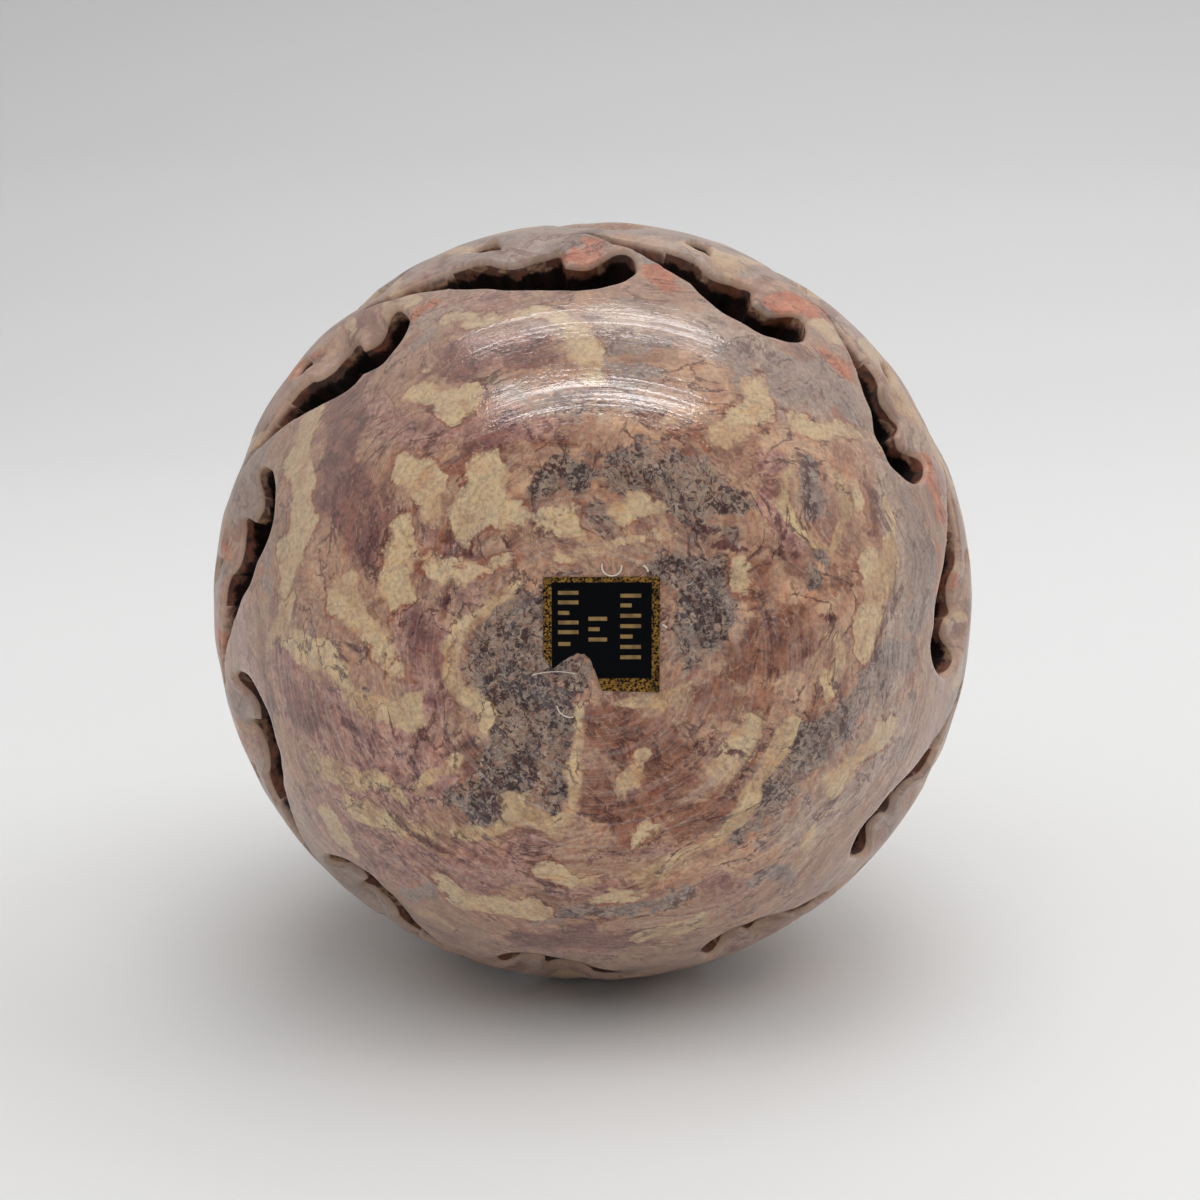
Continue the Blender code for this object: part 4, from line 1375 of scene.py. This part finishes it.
# threads of dried glue: middle across and up, radius, where they start, how far they bend
# and half thickness
THREADS = [(1.05, 6.5, 0.66, 165.0, 200.0, 0.06), (3.0, 6.1, 0.46, 5.0, 65.0, 0.07),
           (4.4, 2.2, 0.35, 25.0, 60.0, 0.07), (-1.7, -2.8, 0.92, 188.0, 93.0, 0.045),
           (-2.65, -6.2, 5.6, 77.0, 30.0, 0.03), (-2.6, 0.1, 0.46, 192.0, 60.0, 0.04)]


def glue_threads(bm):
    """Thin curled threads of dried glue that lie on the ground base round the label."""
    others = set(bm.faces)
    lift = -BASE_Y - 0.04
    for across, up, radius, start, bend, thick in THREADS:
        a = math.radians(start)
        at = Matrix.Translation((across + radius * math.cos(a), lift, up + radius * math.sin(a)))
        upright = Matrix.Rotation(-a, 4, "Y")
        made = bmesh.ops.create_circle(bm, cap_ends=True, segments=6, radius=thick, matrix=at @ upright)
        disc = list({f for v in made["verts"] for f in v.link_faces})
        bmesh.ops.spin(bm, geom=disc, cent=(across, lift, up), axis=(0.0, -1.0, 0.0),
                       angle=math.radians(bend), steps=12)
    threads = [f for f in bm.faces if f not in others]
    bmesh.ops.recalc_face_normals(bm, faces=threads)
    for f in threads:
        f.material_index = 2


def gilt_bars(bm):
    """Plain gilt bars that stand in three columns on the paper."""
    for left, right, bars in BARS:
        for height, length in bars:
            wide = (right - left) * length
            at = Matrix.Translation((left + 0.5 * wide, LABEL_FRONT - 0.002, height))
            size = Matrix.Diagonal((wide, BAR_THICK, BAR_HEIGHT, 1.0))
            bar = bmesh.ops.create_cube(bm, size=1.0, matrix=at @ size)
            for f in {f for v in bar["verts"] for f in v.link_faces}:
                f.material_index = 1


def paper_label():
    """A square foil label with one corner torn away, its bars and the glue round it."""
    outline = [(LABEL_LEFT, LABEL_HIGH), (LABEL_RIGHT, LABEL_HIGH), (LABEL_RIGHT, LABEL_LOW)] + TORN
    bm = bmesh.new()
    corners = [bm.verts.new((x, LABEL_FRONT, z)) for x, z in outline]
    face = bm.faces.new(corners)
    made = bmesh.ops.extrude_face_region(bm, geom=[face])
    for v in made["geom"]:
        if isinstance(v, bmesh.types.BMVert):
            v.co.y = -BASE_Y + 0.02
    bmesh.ops.recalc_face_normals(bm, faces=bm.faces)
    rim = [e for e in bm.edges if all(abs(v.co.y - LABEL_FRONT) < 0.001 for v in e.verts)]
    bmesh.ops.bevel(bm, geom=rim, offset=0.03, segments=2, profile=0.5, affect="EDGES", material=-1)
    for f in bm.faces:
        f.material_index = 0
    gilt_bars(bm)
    glue_threads(bm)
    for v in bm.verts:
        v.co = Vector(settle(v.co))
    return bm


def label_paper():
    """Black foil paper with a speckled gilt border and rubbed spots."""
    r = Recipe("label_paper_black", tint(12, 13, 18))
    split = r.tree.nodes.new("ShaderNodeSeparateXYZ")
    r.link(r.mm, split.inputs[0])
    x, z = split.outputs[0], r.sum("SUBTRACT", split.outputs[2], SHIFT[2])
    speckle = r.noise(0.16, 3.0, 0.7)
    rubbed = r.noise(0.9, 4.0, 0.65)
    side = r.sum("MAXIMUM", r.band(x, LABEL_LEFT + 0.60, LABEL_LEFT + 0.54),
                 r.band(x, LABEL_RIGHT - 0.56, LABEL_RIGHT - 0.50))
    ends = r.sum("MAXIMUM", r.band(z, LABEL_LOW + 1.0, LABEL_LOW + 0.93),
                 r.band(z, LABEL_HIGH - 0.36, LABEL_HIGH - 0.30))
    border = r.sum("MAXIMUM", side, ends)
    kept = r.band(speckle, 0.42, 0.58)
    black = r.mix(r.band(speckle, 0.62, 0.74), tint(4, 5, 9), tint(20, 22, 27))
    gold = r.mix(r.band(rubbed, 0.4, 0.65), tint(150, 112, 52), tint(96, 72, 36))
    colour = r.mix(r.sum("MULTIPLY", border, kept), black, gold)
    scuff = r.band(r.noise(0.7, 6.0, 0.75, r.moved((3.0, 9.0, 1.0))), 0.66, 0.72)
    colour = r.mix(r.sum("MULTIPLY", scuff, 0.6), colour, tint(120, 116, 110))
    r.link(colour, r.shader.inputs["Base Color"])
    r.shader.inputs["Roughness"].default_value = 0.45
    r.shader.inputs["Specular IOR Level"].default_value = 0.05
    r.link(r.bump(rubbed, 0.25, 0.0001), r.shader.inputs["Normal"])
    return r.material


def dried_glue():
    """Yellowed white glue."""
    r = Recipe("dried_glue", tint(222, 212, 196))
    r.shader.inputs["Base Color"].default_value = (*tint(222, 212, 196), 1.0)
    r.shader.inputs["Roughness"].default_value = 0.5
    return r.material


def gilt():
    """Rubbed gilt of the bars."""
    r = Recipe("label_gilt", tint(132, 102, 54))
    rubbed = r.noise(0.8, 2.0, 0.5)
    gold = r.mix(r.band(rubbed, 0.38, 0.62), tint(110, 86, 46), tint(144, 114, 62))
    r.link(gold, r.shader.inputs["Base Color"])
    r.shader.inputs["Roughness"].default_value = 0.5
    return r.material


# ---- camera, floor and lights ----
def put_camera():
    """Level with the egg and a little above it, looking at its fat end."""
    aim = Vector(SHIFT) * 0.001
    turn, rise = math.radians(CAMERA_TURN), math.radians(CAMERA_RISE)
    way = Vector((-math.sin(turn) * math.cos(rise), -math.cos(turn) * math.cos(rise), math.sin(rise)))
    data = bpy.data.cameras.new("camera")
    data.sensor_width = 36.0
    data.lens = CAMERA_LENS
    data.clip_start = 0.01
    camera = bpy.data.objects.new("camera", data)
    camera.location = aim + CAMERA_AWAY * way
    look = (-way).to_track_quat("-Z", "Y").to_matrix()
    look = look @ Matrix.Rotation(math.radians(CAMERA_ROLL), 3, "Y")
    camera.rotation_euler = look.to_euler()
    bpy.context.scene.collection.objects.link(camera)
    bpy.context.scene.camera = camera


# name, turn and height in degrees, distance and size in metres, power in watts, and whether it
# shows only in the polish: two narrow tubes do, and the broad panels only light
LIGHTS = [
    ("front_tube", 0.0, 69.0, 0.30, (0.28, 0.044), 0.34, True),
    ("top_tube", 0.0, 95.0, 0.30, (0.29, 0.036), 0.21, True),
    ("top_panel", 0.0, 90.0, 1.0, (0.6, 0.6), 2.05, False),
    ("front_panel", 0.0, 54.0, 1.0, (1.0, 0.8), 3.25, False),
    ("right_panel", 100.0, 40.0, 1.0, (0.9, 0.9), 3.0, False),
    ("left_panel", -80.0, 35.0, 1.0, (0.9, 0.9), 0.75, False),
    ("back_panel", 165.0, 48.0, 1.1, (0.8, 0.8), 2.4, False),
]


def put_light(name, turn, elevation, distance, size, power, gloss):
    """A soft panel facing the egg; turn 0 is the camera's side and 90 the right."""
    a, side = math.radians(elevation), math.radians(turn)
    centre = Vector(SHIFT) * 0.001
    data = bpy.data.lights.new(name, "AREA")
    data.shape = "RECTANGLE"
    data.size, data.size_y = size
    data.energy = power
    light = bpy.data.objects.new(name, data)
    way = Vector((math.sin(side) * math.cos(a), -math.cos(side) * math.cos(a), math.sin(a)))
    light.location = centre + way * distance
    light.rotation_euler = (light.location - centre).to_track_quat("Z", "Y").to_euler()
    light.visible_glossy = gloss
    light.visible_diffuse = not gloss
    bpy.context.scene.collection.objects.link(light)


def sweep_material():
    """Pale table, painted darker up the backdrop as a painted falloff of the light."""
    material = bpy.data.materials.new("sweep_with_painted_falloff")
    material.use_nodes = True
    tree = material.node_tree
    shader = tree.nodes["Principled BSDF"]
    shader.inputs["Roughness"].default_value = 0.75
    spot = tree.nodes.new("ShaderNodeTexCoord")
    split = tree.nodes.new("ShaderNodeSeparateXYZ")
    # painted shade: the colour darkens with height, standing in for the light falling off up the
    # backdrop
    tone = tree.nodes.new("ShaderNodeValToRGB")
    tone.color_ramp.elements[0].color = (0.825, 0.825, 0.82, 1.0)
    tone.color_ramp.elements[1].position = 0.24
    tone.color_ramp.elements[1].color = (0.59, 0.59, 0.60, 1.0)
    tree.links.new(spot.outputs["Object"], split.inputs[0])
    tree.links.new(split.outputs["Z"], tone.inputs[0])
    tree.links.new(tone.outputs["Color"], shader.inputs["Base Color"])
    return material


def put_floor():
    """A pale table that sweeps up behind into a backdrop."""
    course = [(-1.2, 0.0), (0.5, 0.0), (0.62, 0.012), (0.74, 0.05), (0.84, 0.12), (0.9, 0.25),
              (0.92, 1.6)]
    bm = bmesh.new()
    front = [bm.verts.new((-2.0, y, z)) for y, z in course]
    edges = [bm.edges.new((a, b)) for a, b in zip(front, front[1:])]
    made = bmesh.ops.extrude_edge_only(bm, edges=edges)
    for v in made["geom"]:
        if isinstance(v, bmesh.types.BMVert):
            v.co.x = 2.0
    bmesh.ops.recalc_face_normals(bm, faces=bm.faces)
    if sum(f.normal.z for f in bm.faces) < 0.0:
        bmesh.ops.reverse_faces(bm, faces=bm.faces)
    floor = finished(bm, "floor")
    floor.data.materials.append(sweep_material())


def put_world():
    """Even white light from all round."""
    world = bpy.data.worlds.new("studio")
    bpy.context.scene.world = world
    world.use_nodes = True
    sky = world.node_tree.nodes["Background"]
    sky.inputs["Color"].default_value = (1.0, 1.0, 1.0, 1.0)
    sky.inputs["Strength"].default_value = 0.34


bpy.context.scene.view_settings.view_transform = "Standard"
put_camera()
put_floor()
put_world()
for light in LIGHTS:
    put_light(*light)

fine = 1.0
egg = finished(carve_egg(fine), "carved_egg")
egg_az, egg_polar, egg_skin = places_on(egg.data)
lay_colours(egg.data, egg_polar, egg_skin)
lay_courses(egg.data, egg_az, egg_polar, egg_skin)
egg.data.materials.append(soapstone())
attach(egg, "root")
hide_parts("egg")

label = finished(paper_label(), "torn_label")
label.data.shade_flat()
for material in (label_paper(), gilt(), dried_glue()):
    label.data.materials.append(material)
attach(label, "root")
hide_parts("label")
